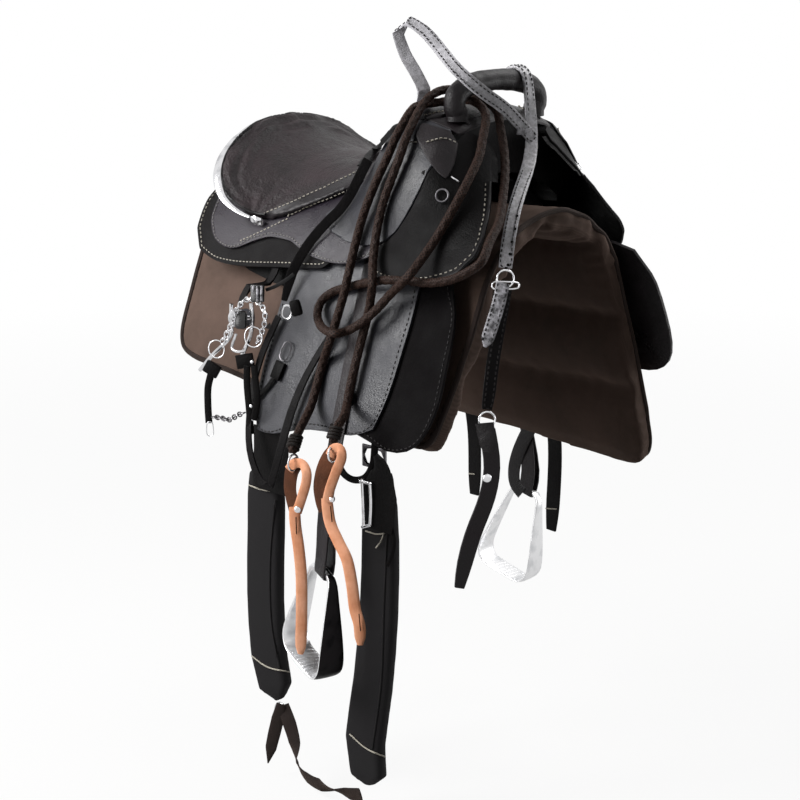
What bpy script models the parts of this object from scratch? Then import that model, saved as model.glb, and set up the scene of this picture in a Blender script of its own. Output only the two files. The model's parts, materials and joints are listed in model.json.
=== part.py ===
"""An australian stock saddle on its pad, with girths, stirrups, bridle and rope rein.

+X points to the horse's head, +Y to the horse's near side and +Z up, in metres. The origin is the
top of the pad's underside at mid length, where a rack or the horse's back carries the saddle.
Most layers are sheets laid over one arch: x runs along the horse, s runs round the arch from the
spine (negative on the off side) and d is the height above the horse's back.
"""
import math

import bmesh
import bpy
from mathutils import Vector

# The arch that every layer follows
BACK_RADIUS = 0.123
SIDE_SLOPE = math.radians(70)
ARCH_FACETS = 8
GAP = 0.0003
LOOSE = 0.0008

# Saddle pad
PAD_THICKNESS = 0.030
PAD_REAR_X = -0.298
PAD_FRONT_X = 0.279
PAD_SHIFT = 0.036
CHANNEL_DEPTH = 0.009
CHANNEL_SEAMS = (0.055, 0.175, 0.293)
SEAM_WIDTH = 0.022

# Saddle layers, from the horse's back outwards
PANEL_THICKNESS = 0.018
PANEL_DROP = 0.190
FLAP_THICKNESS = 0.0045
SKIRT_THICKNESS = 0.004
JOCKEY_THICKNESS = 0.0045
LEATHER_THICKNESS = 0.003

# Tree and seat
TREE_REAR_X = -0.205
TREE_FRONT_X = 0.150
TREE_INNER_S = 0.030
TREE_OUTER_S = 0.100
STIRRUP_BAR_RADIUS = 0.0028
STIRRUP_BAR_LENGTH = 0.058
SWING_SLACK = 0.0034
HEAD_REAR_X = 0.060
SEAT_RISE = 0.135
STUD_X = -0.137
STUD_S = 0.116
STUD_RADIUS = 0.0075
STUD_THICKNESS = 0.004
CANTLE_DEPTH = 0.115
CANTLE_SQUARENESS = 2.5
STUD_RISE = 0.085
SEAT_LOW = 0.083
SEAT_FRONT_X = 0.054
SEAT_FRONT_S = 0.046
CANTLE_STEP = 0.006
BAND_HEIGHT = 0.026
BAND_THICKNESS = 0.0022

# Fork and handle
FORK_RISE = 0.097
FORK_STEP = 0.02
HEAD_CLEARANCE = 0.0025
FORK_FRONT_X = 0.190
COVER_HALF_S = 0.044
COVER_THICKNESS = 0.0035
HANDLE_X = 0.168
HANDLE_RADIUS = 0.0145
HANDLE_TOP_Z = 0.196
HANDLE_FOOT_S = 0.0345
TAB_LIFT = 0.0012
SEAM_GAP = 0.0015

# Hanging gear
STRAP_THICKNESS = 0.004
STIRRUP_LEATHER_WIDTH = 0.026
IRON_HEIGHT = 0.150
IRON_HALF = 0.052
IRON_TOP_HALF = 0.019
IRON_DEPTH = 0.040
IRON_TOP_DEPTH = 0.010
IRON_TOP_WALL = 0.008
IRON_WALL = 0.006
IRON_TILT = math.radians(16)
GIRTH_Y = -0.226
GIRTH_THICKNESS = 0.022
BILLET_WIDTH = 0.026
BUCKLE_WIRE = 0.0022
ROPE_RADIUS = 0.006
RING_WIRE = 0.0016
BIT_Y = -0.232

OFF, NEAR = -1, 1
SIDES = {"off": OFF, "near": NEAR}
# Where each side's flap lies: how far forward, and its share of the full drop
FLAP_LIE = {OFF: (0.0, 1.0), NEAR: (0.058, 0.79)}
# How far each side's pad hangs at the rear, in the middle and at the front
PAD_DROPS = {OFF: (0.307, 0.340, 0.356), NEAR: (0.424, 0.440, 0.456)}
# Each stirrup bar's middle, and how far forward, how far out and how turned its iron hangs
STIRRUP_X = {OFF: 0.0950, NEAR: -0.0270}
IRON_FORWARD = {OFF: 0.0240, NEAR: 0.0260}
IRON_TOP_Z = {OFF: -0.446, NEAR: -0.468}
IRON_Y = {OFF: 0.278, NEAR: 0.276}
IRON_TURN = {OFF: math.radians(-13), NEAR: math.radians(4)}
# How far down the flap each stirrup leather lies before it hangs free
LEATHER_LEAVES_S = {OFF: 0.378, NEAR: 0.340}
# How far forward the front jockey reaches, as a share of its full length
JOCKEY_REACH = {OFF: 1.0, NEAR: 0.78}
# The near side's unbuckled girth straps: how far along each hangs, where its tip is and how low
NEAR_BILLETS = {"rear": (-0.100, -0.100, -0.494), "front": (0.074, 0.065, -0.519)}

# The rein's course, from its end at the rear tan strap to its end at the front one
REIN_PATH = [
    (0.0955, -0.3100, -0.2811), (0.0950, -0.3085, -0.2700), (0.0860, -0.2885, -0.2540),
    (0.0620, -0.2476, -0.2349),
    (0.0568, -0.2308, -0.2069), (0.0577, -0.2202, -0.1778), (0.0755, -0.2237, -0.1458),
    (0.0722, -0.2076, -0.1181), (0.0785, -0.2019, -0.0895), (0.0833, -0.1971, -0.0607),
    (0.0763, -0.1817, -0.0352), (0.0796, -0.1734, -0.0033), (0.0921, -0.1713, 0.0312),
    (0.1019, -0.1621, 0.0646), (0.1146, -0.1530, 0.0980), (0.1172, -0.1369, 0.1277),
    (0.1115, -0.1037, 0.1573), (0.1108, -0.0796, 0.1631), (0.1360, -0.0626, 0.1678),
    (0.1593, -0.0513, 0.1706), (0.1830, -0.0498, 0.1652), (0.2005, -0.0550, 0.1500),
    (0.2156, -0.0785, 0.1191), (0.2243, -0.0936, 0.1011), (0.2306, -0.1174, 0.0773),
    (0.2315, -0.1379, 0.0531), (0.2262, -0.1546, 0.0256), (0.2182, -0.1693, -0.0009),
    (0.2152, -0.1920, -0.0249), (0.2105, -0.2119, -0.0457), (0.1688, -0.2005, -0.0734),
    (0.1476, -0.2072, -0.0967), (0.1272, -0.2151, -0.1157), (0.1069, -0.2215, -0.1283),
    (0.0993, -0.2382, -0.1304), (0.0621, -0.2248, -0.1296), (0.0330, -0.2070, -0.1194),
    (0.0265, -0.1943, -0.1025), (0.0416, -0.1877, -0.0883), (0.0688, -0.1851, -0.0785),
    (0.1109, -0.1901, -0.0668), (0.1566, -0.1976, -0.0572), (0.1920, -0.1942, -0.0545),
    (0.2314, -0.1938, -0.0527), (0.2650, -0.1902, -0.0454), (0.2913, -0.1851, -0.0328),
    (0.3074, -0.1769, -0.0180), (0.2960, -0.1500, 0.0030), (0.2830, -0.1190, 0.0230),
    (0.2620, -0.0880, 0.0510), (0.2420, -0.0620, 0.0790), (0.2220, -0.0420, 0.1060),
    (0.2075, -0.0330, 0.1320), (0.1970, -0.0305, 0.1570), (0.1750, -0.0315, 0.1690),
    (0.1510, -0.0380, 0.1735), (0.1270, -0.0479, 0.1825), (0.1235, -0.0767, 0.1768),
    (0.1245, -0.1012, 0.1595), (0.1360, -0.1380, 0.1261), (0.1372, -0.1522, 0.1007),
    (0.1311, -0.1611, 0.0720), (0.1217, -0.1666, 0.0426), (0.1161, -0.1714, 0.0133),
    (0.1176, -0.1795, -0.0138), (0.1257, -0.1914, -0.0379), (0.1441, -0.2103, -0.0590),
    (0.1330, -0.2031, -0.0870), (0.1235, -0.2006, -0.1127), (0.1231, -0.2095, -0.1372),
    (0.1231, -0.2198, -0.1656), (0.1236, -0.2306, -0.1951), (0.1258, -0.2403, -0.2217),
    (0.1560, -0.2740, -0.2270), (0.1680, -0.2990, -0.2370),
    (0.1690, -0.3052, -0.2470), (0.1690, -0.3060, -0.2561)]

# Heights of the layers above the back
PAD_TOP = PAD_THICKNESS
BILLET_MIDDLE = PAD_TOP + LOOSE + STRAP_THICKNESS / 2
PANEL_LOW = PAD_TOP + GAP
PANEL_TOP = PANEL_LOW + PANEL_THICKNESS
TREE_LOW = PANEL_TOP + GAP
UNDER_FLAP_TOP = TREE_LOW + FLAP_THICKNESS
FLAP_LOW = UNDER_FLAP_TOP + GAP
FLAP_TOP = FLAP_LOW + FLAP_THICKNESS
STIRRUP_LOW = FLAP_TOP + LOOSE
STIRRUP_TOP = STIRRUP_LOW + LEATHER_THICKNESS
SKIRT_LOW = STIRRUP_TOP + LOOSE
TREE_TOP = SKIRT_LOW - GAP
SKIRT_TOP = SKIRT_LOW + SKIRT_THICKNESS
JOCKEY_LOW = SKIRT_TOP + GAP
JOCKEY_TOP = JOCKEY_LOW + JOCKEY_THICKNESS
SEAT_BASE = JOCKEY_TOP + GAP
BAR_REACH = STIRRUP_BAR_RADIUS + 2 * GAP + LEATHER_THICKNESS
BAR_S = TREE_OUTER_S + LOOSE + BAR_REACH + SWING_SLACK
BAR_D = (TREE_LOW + SKIRT_LOW) / 2
FLAP_TOP_S = BAR_S + BAR_REACH + LOOSE

# The arch as flat facets, so that stacked sheets nest
ARC_END = BACK_RADIUS * SIDE_SLOPE
FACET = ARC_END / ARCH_FACETS


def clear_scene():
    for item in list(bpy.data.objects):
        bpy.data.objects.remove(item, do_unlink=True)


def srgb(hex_colour):
    """Linear RGBA of an sRGB hex colour."""
    channels = [int(hex_colour[i:i + 2], 16) / 255 for i in (1, 3, 5)]
    linear = [c / 12.92 if c <= 0.04045 else ((c + 0.055) / 1.055) ** 2.4 for c in channels]
    return (*linear, 1.0)


def material(name, hex_colour, roughness, metallic=0.0):
    made = bpy.data.materials.new(name)
    made.use_nodes = True
    shader = made.node_tree.nodes["Principled BSDF"]
    shader.inputs["Base Color"].default_value = srgb(hex_colour)
    shader.inputs["Roughness"].default_value = roughness
    shader.inputs["Metallic"].default_value = metallic
    made.diffuse_color = srgb(hex_colour)
    return made


def table(value, pairs):
    """Straight-line reading of a curve given as (place, height) pairs."""
    if value <= pairs[0][0]:
        return pairs[0][1]
    for (a, low), (b, high) in zip(pairs, pairs[1:]):
        if value <= b:
            return low + (high - low) * (value - a) / (b - a)
    return pairs[-1][1]


def arc_point(s, d):
    """(y, z) at arc length s and height d on the round part of the arch, for s at or above 0."""
    angle = s / BACK_RADIUS
    reach = BACK_RADIUS + d
    return reach * math.sin(angle), reach * math.cos(angle) - BACK_RADIUS


def arch(x, s, d):
    side = -1 if s < 0 else 1
    s = abs(s)
    if s >= ARC_END:
        y, z = arc_point(ARC_END, d)
        y += (s - ARC_END) * math.cos(SIDE_SLOPE)
        z -= (s - ARC_END) * math.sin(SIDE_SLOPE)
        return Vector((x, side * y, z))
    facet = int(s / FACET)
    share = s / FACET - facet
    y0, z0 = arc_point(facet * FACET, d)
    y1, z1 = arc_point((facet + 1) * FACET, d)
    return Vector((x, side * (y0 + (y1 - y0) * share), z0 + (z1 - z0) * share))


def curve_through(points, step, closed=False):
    """Points every step or so along a smooth curve through the given ones."""
    points = [Vector(p) for p in points]
    count = len(points)
    ends = [points[-1]] + points + [points[0], points[1]] if closed else \
        [2 * points[0] - points[1]] + points + [2 * points[-1] - points[-2]]
    out = []
    for i in range(count if closed else count - 1):
        a, b, c, d = ends[i:i + 4]
        parts = max(1, round((c - b).length / step))
        for k in range(parts):
            t = k / parts
            out.append(0.5 * ((2 * b) + (c - a) * t + (2 * a - 5 * b + 4 * c - d) * t ** 2
                              + (3 * b - a - 3 * c + d) * t ** 3))
    if not closed:
        out.append(points[-1])
    return out


def add_object(name, bm, finish, smooth_angle=40):
    bmesh.ops.remove_doubles(bm, verts=bm.verts, dist=1e-6)
    bmesh.ops.recalc_face_normals(bm, faces=bm.faces)
    mesh = bpy.data.meshes.new(name)
    bm.to_mesh(mesh)
    bm.free()
    mesh.shade_smooth()
    mesh.set_sharp_from_angle(angle=math.radians(smooth_angle))
    made = bpy.data.objects.new(name, mesh)
    bpy.context.collection.objects.link(made)
    mesh.materials.append(finish)
    return made


def sheet(name, outline, low, high, finish, step=None, cuts=(), round_step=0.02):
    """A layer over the arch with its outline in (x, s), between two heights or height functions.

    step adds cuts along x, for a layer whose height changes along the horse, and cuts are further
    values of s to cut at.
    """
    low_at = low if callable(low) else lambda x, s: low
    high_at = high if callable(high) else lambda x, s: high
    outline = curve_through([(x, s, 0) for x, s in outline], round_step, closed=True)
    bm = bmesh.new()
    bm.faces.new([bm.verts.new(p) for p in outline])
    lines = [i * FACET for i in range(-ARCH_FACETS, ARCH_FACETS + 1)] + list(cuts)
    for s in lines:
        slice_plane(bm, (0, s, 0), (0, 1, 0))
    if step:
        first = min(p.x for p in outline)
        last = max(p.x for p in outline)
        for i in range(math.ceil(first / step), math.floor(last / step) + 1):
            slice_plane(bm, (i * step, 0, 0), (1, 0, 0))
    bmesh.ops.triangulate(bm, faces=bm.faces, quad_method="FIXED")
    top = bmesh.ops.extrude_face_region(bm, geom=bm.faces[:], use_keep_orig=True)
    for item in top["geom"]:
        if isinstance(item, bmesh.types.BMVert):
            item.co.z = 1
    for vert in bm.verts:
        x, s, layer = vert.co
        vert.co = arch(x, s, high_at(x, s) if layer > 0.5 else low_at(x, s))
    return add_object(name, bm, finish)


def slice_plane(bm, place, normal):
    geometry = bm.verts[:] + bm.edges[:] + bm.faces[:]
    bmesh.ops.bisect_plane(bm, geom=geometry, plane_co=place, plane_no=normal, dist=1e-7)


def on_side(outline, side, lie=(0.0, 1.0)):
    """An outline drawn for positive s on a side of the saddle, as far forward and down as it lies."""
    forward, drop = lie
    return [(x + forward, side * (FLAP_TOP_S + (s - FLAP_TOP_S) * drop)) for x, s in outline]


def rectangle(half_width, half_thickness):
    w, t = half_width, half_thickness
    return [(-w, -t), (w, -t), (w, t), (-w, t)]


def round_profile(radius, sides):
    turns = [2 * math.pi * (i + 0.5) / sides for i in range(sides)]
    return [(radius * math.cos(a), radius * math.sin(a)) for a in turns]


def sweep(name, points, width_dir, profile, finish, closed=False, scale=None, smooth_angle=40):
    """A section swept along points. Its first axis lies along width_dir, its second across it.

    width_dir is one direction or one for each point, and scale(t) gives the section's (width,
    thickness) factors at the share t of the way.
    """
    points = [Vector(p) for p in points]
    count = len(points)
    dirs = width_dir if isinstance(width_dir, list) else [width_dir] * count
    bm = bmesh.new()
    rings = []
    for i, point in enumerate(points):
        before = points[i - 1] if i or closed else points[i]
        after = points[(i + 1) % count] if i + 1 < count or closed else points[i]
        along = (after - before).normalized()
        width = Vector(dirs[i])
        width = (width - along * width.dot(along)).normalized()
        across = along.cross(width)
        wide, thick = scale(i / (count - 1)) if scale else (1, 1)
        rings.append([bm.verts.new(point + width * a * wide + across * b * thick)
                      for a, b in profile])
    pairs = list(zip(rings, rings[1:] + rings[:1])) if closed else list(zip(rings, rings[1:]))
    for first, second in pairs:
        for k in range(len(profile)):
            m = (k + 1) % len(profile)
            bm.faces.new((first[k], first[m], second[m], second[k]))
    if not closed:
        bm.faces.new(rings[0])
        bm.faces.new(rings[-1][::-1])
    return add_object(name, bm, finish, smooth_angle)


def strap(name, points, width_dir, width, finish, thickness=STRAP_THICKNESS, step=0.03, taper=0.6):
    """A leather strap of one width that narrows over its last few millimetres."""
    path = curve_through(points, step)
    length = sum((b - a).length for a, b in zip(path, path[1:]))
    if isinstance(width_dir, list):
        width_dir = [read_along(width_dir, i / (len(path) - 1)) for i in range(len(path))]

    def narrowed(t):
        from_end = (1 - t) * length
        return (taper + (1 - taper) * min(1, from_end / width), 1)
    return sweep(name, path, width_dir, rectangle(width / 2, thickness / 2), finish, scale=narrowed)


def read_along(values, share):
    place = share * (len(values) - 1)
    i = min(int(place), len(values) - 2)
    return Vector(values[i]).lerp(Vector(values[i + 1]), place - i)


def ring(name, centre, axis, radius, finish, wire=RING_WIRE, around=16, sides=6, stretch=1.0):
    """A wire ring, longer in the direction nearest to down when stretch is above 1."""
    axis = Vector(axis).normalized()
    level = axis.cross(Vector((0, 0, 1))).normalized()
    down = axis.cross(level)
    turns = [2 * math.pi * i / around for i in range(around)]
    points = [Vector(centre) + level * radius * math.cos(a) + down * radius * stretch * math.sin(a)
              for a in turns]
    return sweep(name, points, axis, round_profile(wire, sides), finish, closed=True)


def rope(name, path, radius, finish, resolution=2):
    """A cord as a curve with a round bevel and filled caps."""
    data = bpy.data.curves.new(name, "CURVE")
    data.dimensions = "3D"
    data.bevel_depth = radius
    data.bevel_resolution = resolution
    data.use_fill_caps = True
    spline = data.splines.new("POLY")
    spline.points.add(len(path) - 1)
    for point, place in zip(spline.points, path):
        point.co = (*place, 1)
    data.materials.append(finish)
    made = bpy.data.objects.new(name, data)
    bpy.context.collection.objects.link(made)
    return made


def merge(name, pieces, finish):
    """Overlapping closed pieces joined into one closed body."""
    base, *others = pieces
    base.name = name
    for other in others:
        cut = base.modifiers.new("join", "BOOLEAN")
        cut.operation = "UNION"
        cut.solver = "EXACT"
        cut.object = other
        with bpy.context.temp_override(object=base, active_object=base):
            bpy.ops.object.modifier_apply(modifier=cut.name)
        bpy.data.objects.remove(other, do_unlink=True)
    base.data.materials.clear()
    base.data.materials.append(finish)
    return base


def seat_half(x):
    """Half of the seat's width round the arch at x."""
    if x < STUD_X:
        back = (STUD_X - x) / CANTLE_DEPTH
        return STUD_S * max(0.0, 1 - back ** CANTLE_SQUARENESS) ** (1 / CANTLE_SQUARENESS)
    return table(x, [(STUD_X, STUD_S), (-0.11, STUD_S), (-0.055, 0.097), (-0.005, 0.075),
                     (SEAT_FRONT_X, SEAT_FRONT_S)])


def seat_top(x, s):
    """Height of the seat: a dish from the cantle's arched rim to the twist behind the fork."""
    rear_x = STUD_X - CANTLE_DEPTH
    spine = table(x, [(rear_x, SEAT_RISE), (rear_x + 0.02, SEAT_RISE - 0.007), (-0.19, 0.102),
                      (-0.15, SEAT_LOW + 0.003), (-0.05, SEAT_LOW), (0.0, SEAT_LOW + 0.001),
                      (0.03, 0.096), (SEAT_FRONT_X, 0.112)])
    if x < STUD_X:
        edge = STUD_RISE + (SEAT_RISE - STUD_RISE) * ((STUD_X - x) / CANTLE_DEPTH) ** 0.75
    else:
        edge = table(x, [(STUD_X, STUD_RISE), (-0.05, SEAT_LOW - 0.003), (SEAT_FRONT_X, 0.088)])
    share = min(1.0, abs(s) / max(seat_half(x), 0.001)) ** 2
    return max(spine * (1 - share) + edge * share, SEAT_BASE + 0.004)


def fork_shape(x, s):
    """Height of the fork and of the jockeys that run up to it: broad shoulders that fall steeply."""
    along = table(x, [(-0.012, 0.0), (0.02, 0.15), (0.05, 0.5), (0.085, 1.0), (0.14, 1.0),
                      (0.185, 0.86), (0.205, 0.62), (0.235, 0.28), (0.262, 0.08), (0.285, 0.0)])
    across = table(abs(s), [(0.0, 1.0), (0.043, 0.985), (0.056, 0.9), (0.0752, 0.66), (0.095, 0.33),
                            (0.117, 0.08), (0.1315, 0.0)])
    return SEAT_BASE + FORK_RISE * along * across


def fork_top(x, s):
    """The fork's height read straight between its cuts, so that the leathers on it nest."""
    column, row = math.floor(x / FORK_STEP), math.floor(s / FACET)
    along, round_it = x / FORK_STEP - column, s / FACET - row
    (a, b), (c, d) = [[fork_shape((column + i) * FORK_STEP, (row + k) * FACET) for k in (0, 1)]
                      for i in (0, 1)]
    return (a + (b - a) * round_it) * (1 - along) + (c + (d - c) * round_it) * along


def build_materials():
    return {
        "pad": material("brown_pad_cloth", "#3b2b24", 0.95),
        "felt": material("cream_wool_felt", "#8a7c66", 0.95),
        "wood": material("laminated_wood", "#6b4a2b", 0.6),
        "seat": material("dark_brown_seat_leather", "#241b18", 0.45),
        "leather": material("black_leather", "#191515", 0.4),
        "flap": material("blue_grey_smooth_leather", "#34363c", 0.3),
        "suede": material("dull_black_leather", "#100e0e", 0.8),
        "steel": material("bright_steel", "#c9c9c9", 0.2, 1.0),
        "aluminium": material("satin_aluminium", "#c4c4c2", 0.35, 1.0),
        "girth": material("black_padded_girth", "#17120f", 0.85),
        "webbing": material("dark_brown_webbing", "#2a1e18", 0.8),
        "rope": material("dark_brown_rope", "#2f1f18", 0.85),
        "tan": material("tan_leather", "#a5603c", 0.5),
    }


def build_pad(finish):
    def inner(x, s):
        across = abs(s - PAD_SHIFT)
        return max(CHANNEL_DEPTH * max(0.0, 1 - abs(across - seam) / SEAM_WIDTH)
                   for seam in CHANNEL_SEAMS)

    seams = [PAD_SHIFT + side * (seam + k * SEAM_WIDTH)
             for side in SIDES.values() for seam in CHANNEL_SEAMS for k in (-1, 0, 1)]
    outline = [(PAD_REAR_X, PAD_SHIFT)]
    for side, corner_x in ((NEAR, PAD_FRONT_X - 0.006), (OFF, PAD_FRONT_X - 0.018)):
        rear, middle, front = (side * drop for drop in PAD_DROPS[side])
        inward = side * 0.03
        half = [(PAD_REAR_X, rear / 2), (PAD_REAR_X, rear - inward),
                (PAD_REAR_X + 0.008, rear - inward / 3), (PAD_REAR_X + 0.03, rear), (0.0, middle),
                (corner_x - 0.03, front + inward / 6), (corner_x - 0.01, front),
                (corner_x, front - inward), (PAD_FRONT_X, front / 2)]
        outline += half if side == NEAR else [(PAD_FRONT_X, PAD_SHIFT)] + half[::-1]
    sheet("saddle_pad", outline, inner, PAD_TOP, finish, cuts=seams, round_step=0.06)


def build_tree(finishes):
    for word, side in SIDES.items():
        panel = [(-0.215, 0.04), (-0.1, 0.026), (0.06, 0.026), (0.15, 0.034), (0.165, 0.1),
                 (0.15, PANEL_DROP - 0.02), (0.06, PANEL_DROP), (-0.1, PANEL_DROP - 0.01),
                 (-0.2, 0.15), (-0.235, 0.09)]
        sheet(f"panel_{word}", on_side(panel, side), PANEL_LOW, PANEL_TOP, finishes["felt"],
              round_step=0.05)
        bar = [(TREE_REAR_X, TREE_INNER_S), (0.0, TREE_INNER_S), (TREE_FRONT_X, TREE_INNER_S),
               (TREE_FRONT_X, TREE_OUTER_S - 0.01), (TREE_FRONT_X - 0.01, TREE_OUTER_S),
               (0.0, TREE_OUTER_S), (TREE_REAR_X + 0.01, TREE_OUTER_S),
               (TREE_REAR_X, TREE_OUTER_S - 0.01)]
        sheet(f"tree_bar_{word}", on_side(bar, side), TREE_LOW, TREE_TOP, finishes["wood"],
              round_step=0.2)
        build_stirrup_bar(word, side, finishes["steel"])
    core = COVER_THICKNESS + HEAD_CLEARANCE
    rear, front = HEAD_REAR_X, FORK_FRONT_X - 0.01
    head = [(rear, 0.0), (rear, 0.08), (rear + 0.01, 0.09), (front - 0.01, 0.09), (front, 0.08)]
    head += [(front, 0.0)] + [(x, -s) for x, s in head[:0:-1]]
    sheet("tree_head", head, SEAT_BASE, lambda x, s: cover_high(x, s) - core, finishes["wood"],
          step=FORK_STEP)


def build_stirrup_bar(word, side, finish):
    """A bar clear of the tree's edge, bent in at both ends to meet it."""
    x = STIRRUP_X[side]
    half = STIRRUP_BAR_LENGTH / 2
    root_s = TREE_OUTER_S + GAP
    path = [arch(x + end * half, side * s, BAR_D) for end, s in
            [(-1.12, root_s), (-1.1, BAR_S - 0.003), (-1.0, BAR_S), (-0.4, BAR_S), (0.4, BAR_S),
             (1.0, BAR_S), (1.1, BAR_S - 0.003), (1.12, root_s)]]
    normal = arch(x, side * BAR_S, BAR_D + 0.01) - arch(x, side * BAR_S, BAR_D)
    sweep(f"stirrup_bar_{word}", path, normal, round_profile(STIRRUP_BAR_RADIUS, 8), finish)


def build_flaps(finishes):
    under = [(-0.048, FLAP_TOP_S), (0.08, FLAP_TOP_S), (0.18, FLAP_TOP_S), (0.235, 0.135),
             (0.262, 0.18), (0.268, 0.25), (0.27, 0.31), (0.258, 0.35), (0.235, 0.370),
             (0.2, 0.376), (0.165, 0.366), (0.08, 0.352), (0.0, 0.345), (-0.035, 0.32),
             (-0.052, 0.23), (-0.05, 0.16)]
    flap = [(-0.052, FLAP_TOP_S), (0.06, FLAP_TOP_S), (0.17, FLAP_TOP_S), (0.19, 0.135),
            (0.193, 0.19), (0.189, 0.25), (0.186, 0.305), (0.172, 0.35), (0.135, 0.368),
            (0.08, 0.367), (0.03, 0.373), (-0.015, 0.392), (-0.048, 0.388), (-0.064, 0.345),
            (-0.066, 0.26), (-0.06, 0.17)]
    for word, side in SIDES.items():
        lie = FLAP_LIE[side]
        sheet(f"under_flap_{word}", on_side(under, side, lie), TREE_LOW, UNDER_FLAP_TOP,
              finishes["suede"], round_step=0.04)
        sheet(f"flap_{word}", on_side(flap, side, lie), FLAP_LOW, FLAP_TOP, finishes["flap"],
              round_step=0.04)


def build_skirts(finishes):
    skirt = [(-0.262, 0.03), (-0.284, 0.06), (-0.287, 0.1), (-0.277, 0.13), (-0.255, 0.152),
             (-0.222, 0.164), (-0.165, 0.167), (-0.062, 0.158), (0.01, 0.152), (0.032, 0.14),
             (0.03, 0.08), (0.01, 0.045), (-0.08, 0.03), (-0.18, 0.02)]
    jockey = [(-0.235, 0.004), (-0.258, 0.05), (-0.262, 0.09), (-0.249, 0.122), (-0.225, 0.14),
              (-0.196, 0.147), (-0.17, 0.146), (-0.144, 0.137), (-0.106, 0.129), (-0.063, 0.131),
              (-0.036, 0.138), (0.009, 0.145), (0.05, 0.146), (0.1, 0.135), (0.128, 0.118),
              (0.134, 0.08), (0.128, 0.05), (0.1, 0.04), (0.0, 0.034), (-0.12, 0.02),
              (-0.2, 0.004)]
    for word, side in SIDES.items():
        sheet(f"rear_skirt_{word}", on_side(skirt, side), SKIRT_LOW, SKIRT_TOP,
              finishes["leather"], round_step=0.03)
        sheet(f"side_jockey_{word}", on_side(jockey, side), JOCKEY_LOW, JOCKEY_TOP,
              finishes["leather"], round_step=0.03)


def build_seat(finishes):
    outline = []
    steps = 8
    for i in range(-steps, steps + 1):
        turn = math.pi / 2 * i / steps
        back, out = (abs(f(turn)) ** (2 / CANTLE_SQUARENESS) for f in (math.cos, math.sin))
        outline.append((STUD_X - CANTLE_DEPTH * back, math.copysign(STUD_S * out, i)))
    rear = list(outline)
    flank = [(-0.085, seat_half(-0.085)), (-0.03, seat_half(-0.03)), (0.02, seat_half(0.02)),
             (SEAT_FRONT_X, SEAT_FRONT_S)]
    front = [(SEAT_FRONT_X, 0.0)]
    outline += flank + front + [(x, -s) for x, s in reversed(flank)]
    sheet("seat", outline, SEAT_BASE, seat_top, finishes["seat"], step=0.02, round_step=0.03)
    build_cantle_band(rear, finishes["steel"])
    for word, side in SIDES.items():
        place = STUD_S + STUD_THICKNESS / 2 + LOOSE
        centre = arch(STUD_X, side * place, JOCKEY_TOP + STUD_RADIUS + GAP)
        outwards = arch(STUD_X, side * (place + 0.001), 0.08) - arch(STUD_X, side * place, 0.08)
        disc(f"stud_{word}", centre, outwards, STUD_RADIUS, STUD_THICKNESS, finishes["steel"])


def build_cantle_band(rear, finish):
    """A polished band on the cantle's back, a little below its rim."""
    path = []
    for i, (x, s) in enumerate(rear[1:-1], 1):
        (xa, sa), (xb, sb) = rear[i - 1], rear[i + 1]
        run = math.hypot(xb - xa, sb - sa)
        push = LOOSE + BAND_THICKNESS / 2
        out_x, out_s = x - (sb - sa) / run * push, s + (xb - xa) / run * push
        height = max(seat_top(x, s) - CANTLE_STEP - BAND_HEIGHT / 2, JOCKEY_TOP + BAND_HEIGHT / 2 + GAP)
        path.append((arch(out_x, out_s, height),
                     arch(out_x, out_s, height + 0.01) - arch(out_x, out_s, height)))
    points, ups = zip(*path)
    sweep("cantle_band", points, list(ups), rectangle(BAND_HEIGHT / 2, BAND_THICKNESS / 2), finish)


def disc(name, centre, axis, radius, thickness, finish, sides=16):
    """A domed stud or rivet head."""
    axis = Vector(axis).normalized()
    level = axis.cross(Vector((1, 0, 0.2))).normalized()
    rows = [(0.96, 0.0), (1.0, 0.35), (0.8, 0.8), (0.35, 1.0)]
    bm = bmesh.new()
    other = axis.cross(level)
    rings = []
    for wide, high in rows:
        rings.append([bm.verts.new(Vector(centre) + axis * (high - 0.5) * thickness
                                   + (level * math.cos(2 * math.pi * k / sides)
                                      + other * math.sin(2 * math.pi * k / sides)) * radius * wide)
                      for k in range(sides)])
    for low, high in zip(rings, rings[1:]):
        for k in range(sides):
            m = (k + 1) % sides
            bm.faces.new((low[k], low[m], high[m], high[k]))
    bm.faces.new(rings[0][::-1])
    bm.faces.new(rings[-1])
    return add_object(name, bm, finish)


def cover_low(x, s):
    return max(fork_top(x, s) - COVER_THICKNESS, SEAT_BASE)


def cover_high(x, s):
    return cover_low(x, s) + COVER_THICKNESS


def cover_normal(x, s):
    """Outward direction of the cover leather at a place on the fork."""
    small = 0.002
    here = [arch(x + a * small, s + b * small, cover_high(x + a * small, s + b * small))
            for a, b in ((1, 0), (-1, 0), (0, 1), (0, -1))]
    normal = (here[0] - here[1]).cross(here[2] - here[3]).normalized()
    return normal if normal.z > 0 or normal.dot(Vector((0, s, 0))) > 0 else -normal


def on_cover(x, s, lift):
    """A point above the cover leather, measured square to it."""
    return arch(x, s, cover_high(x, s)) + cover_normal(x, s) * lift


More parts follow.
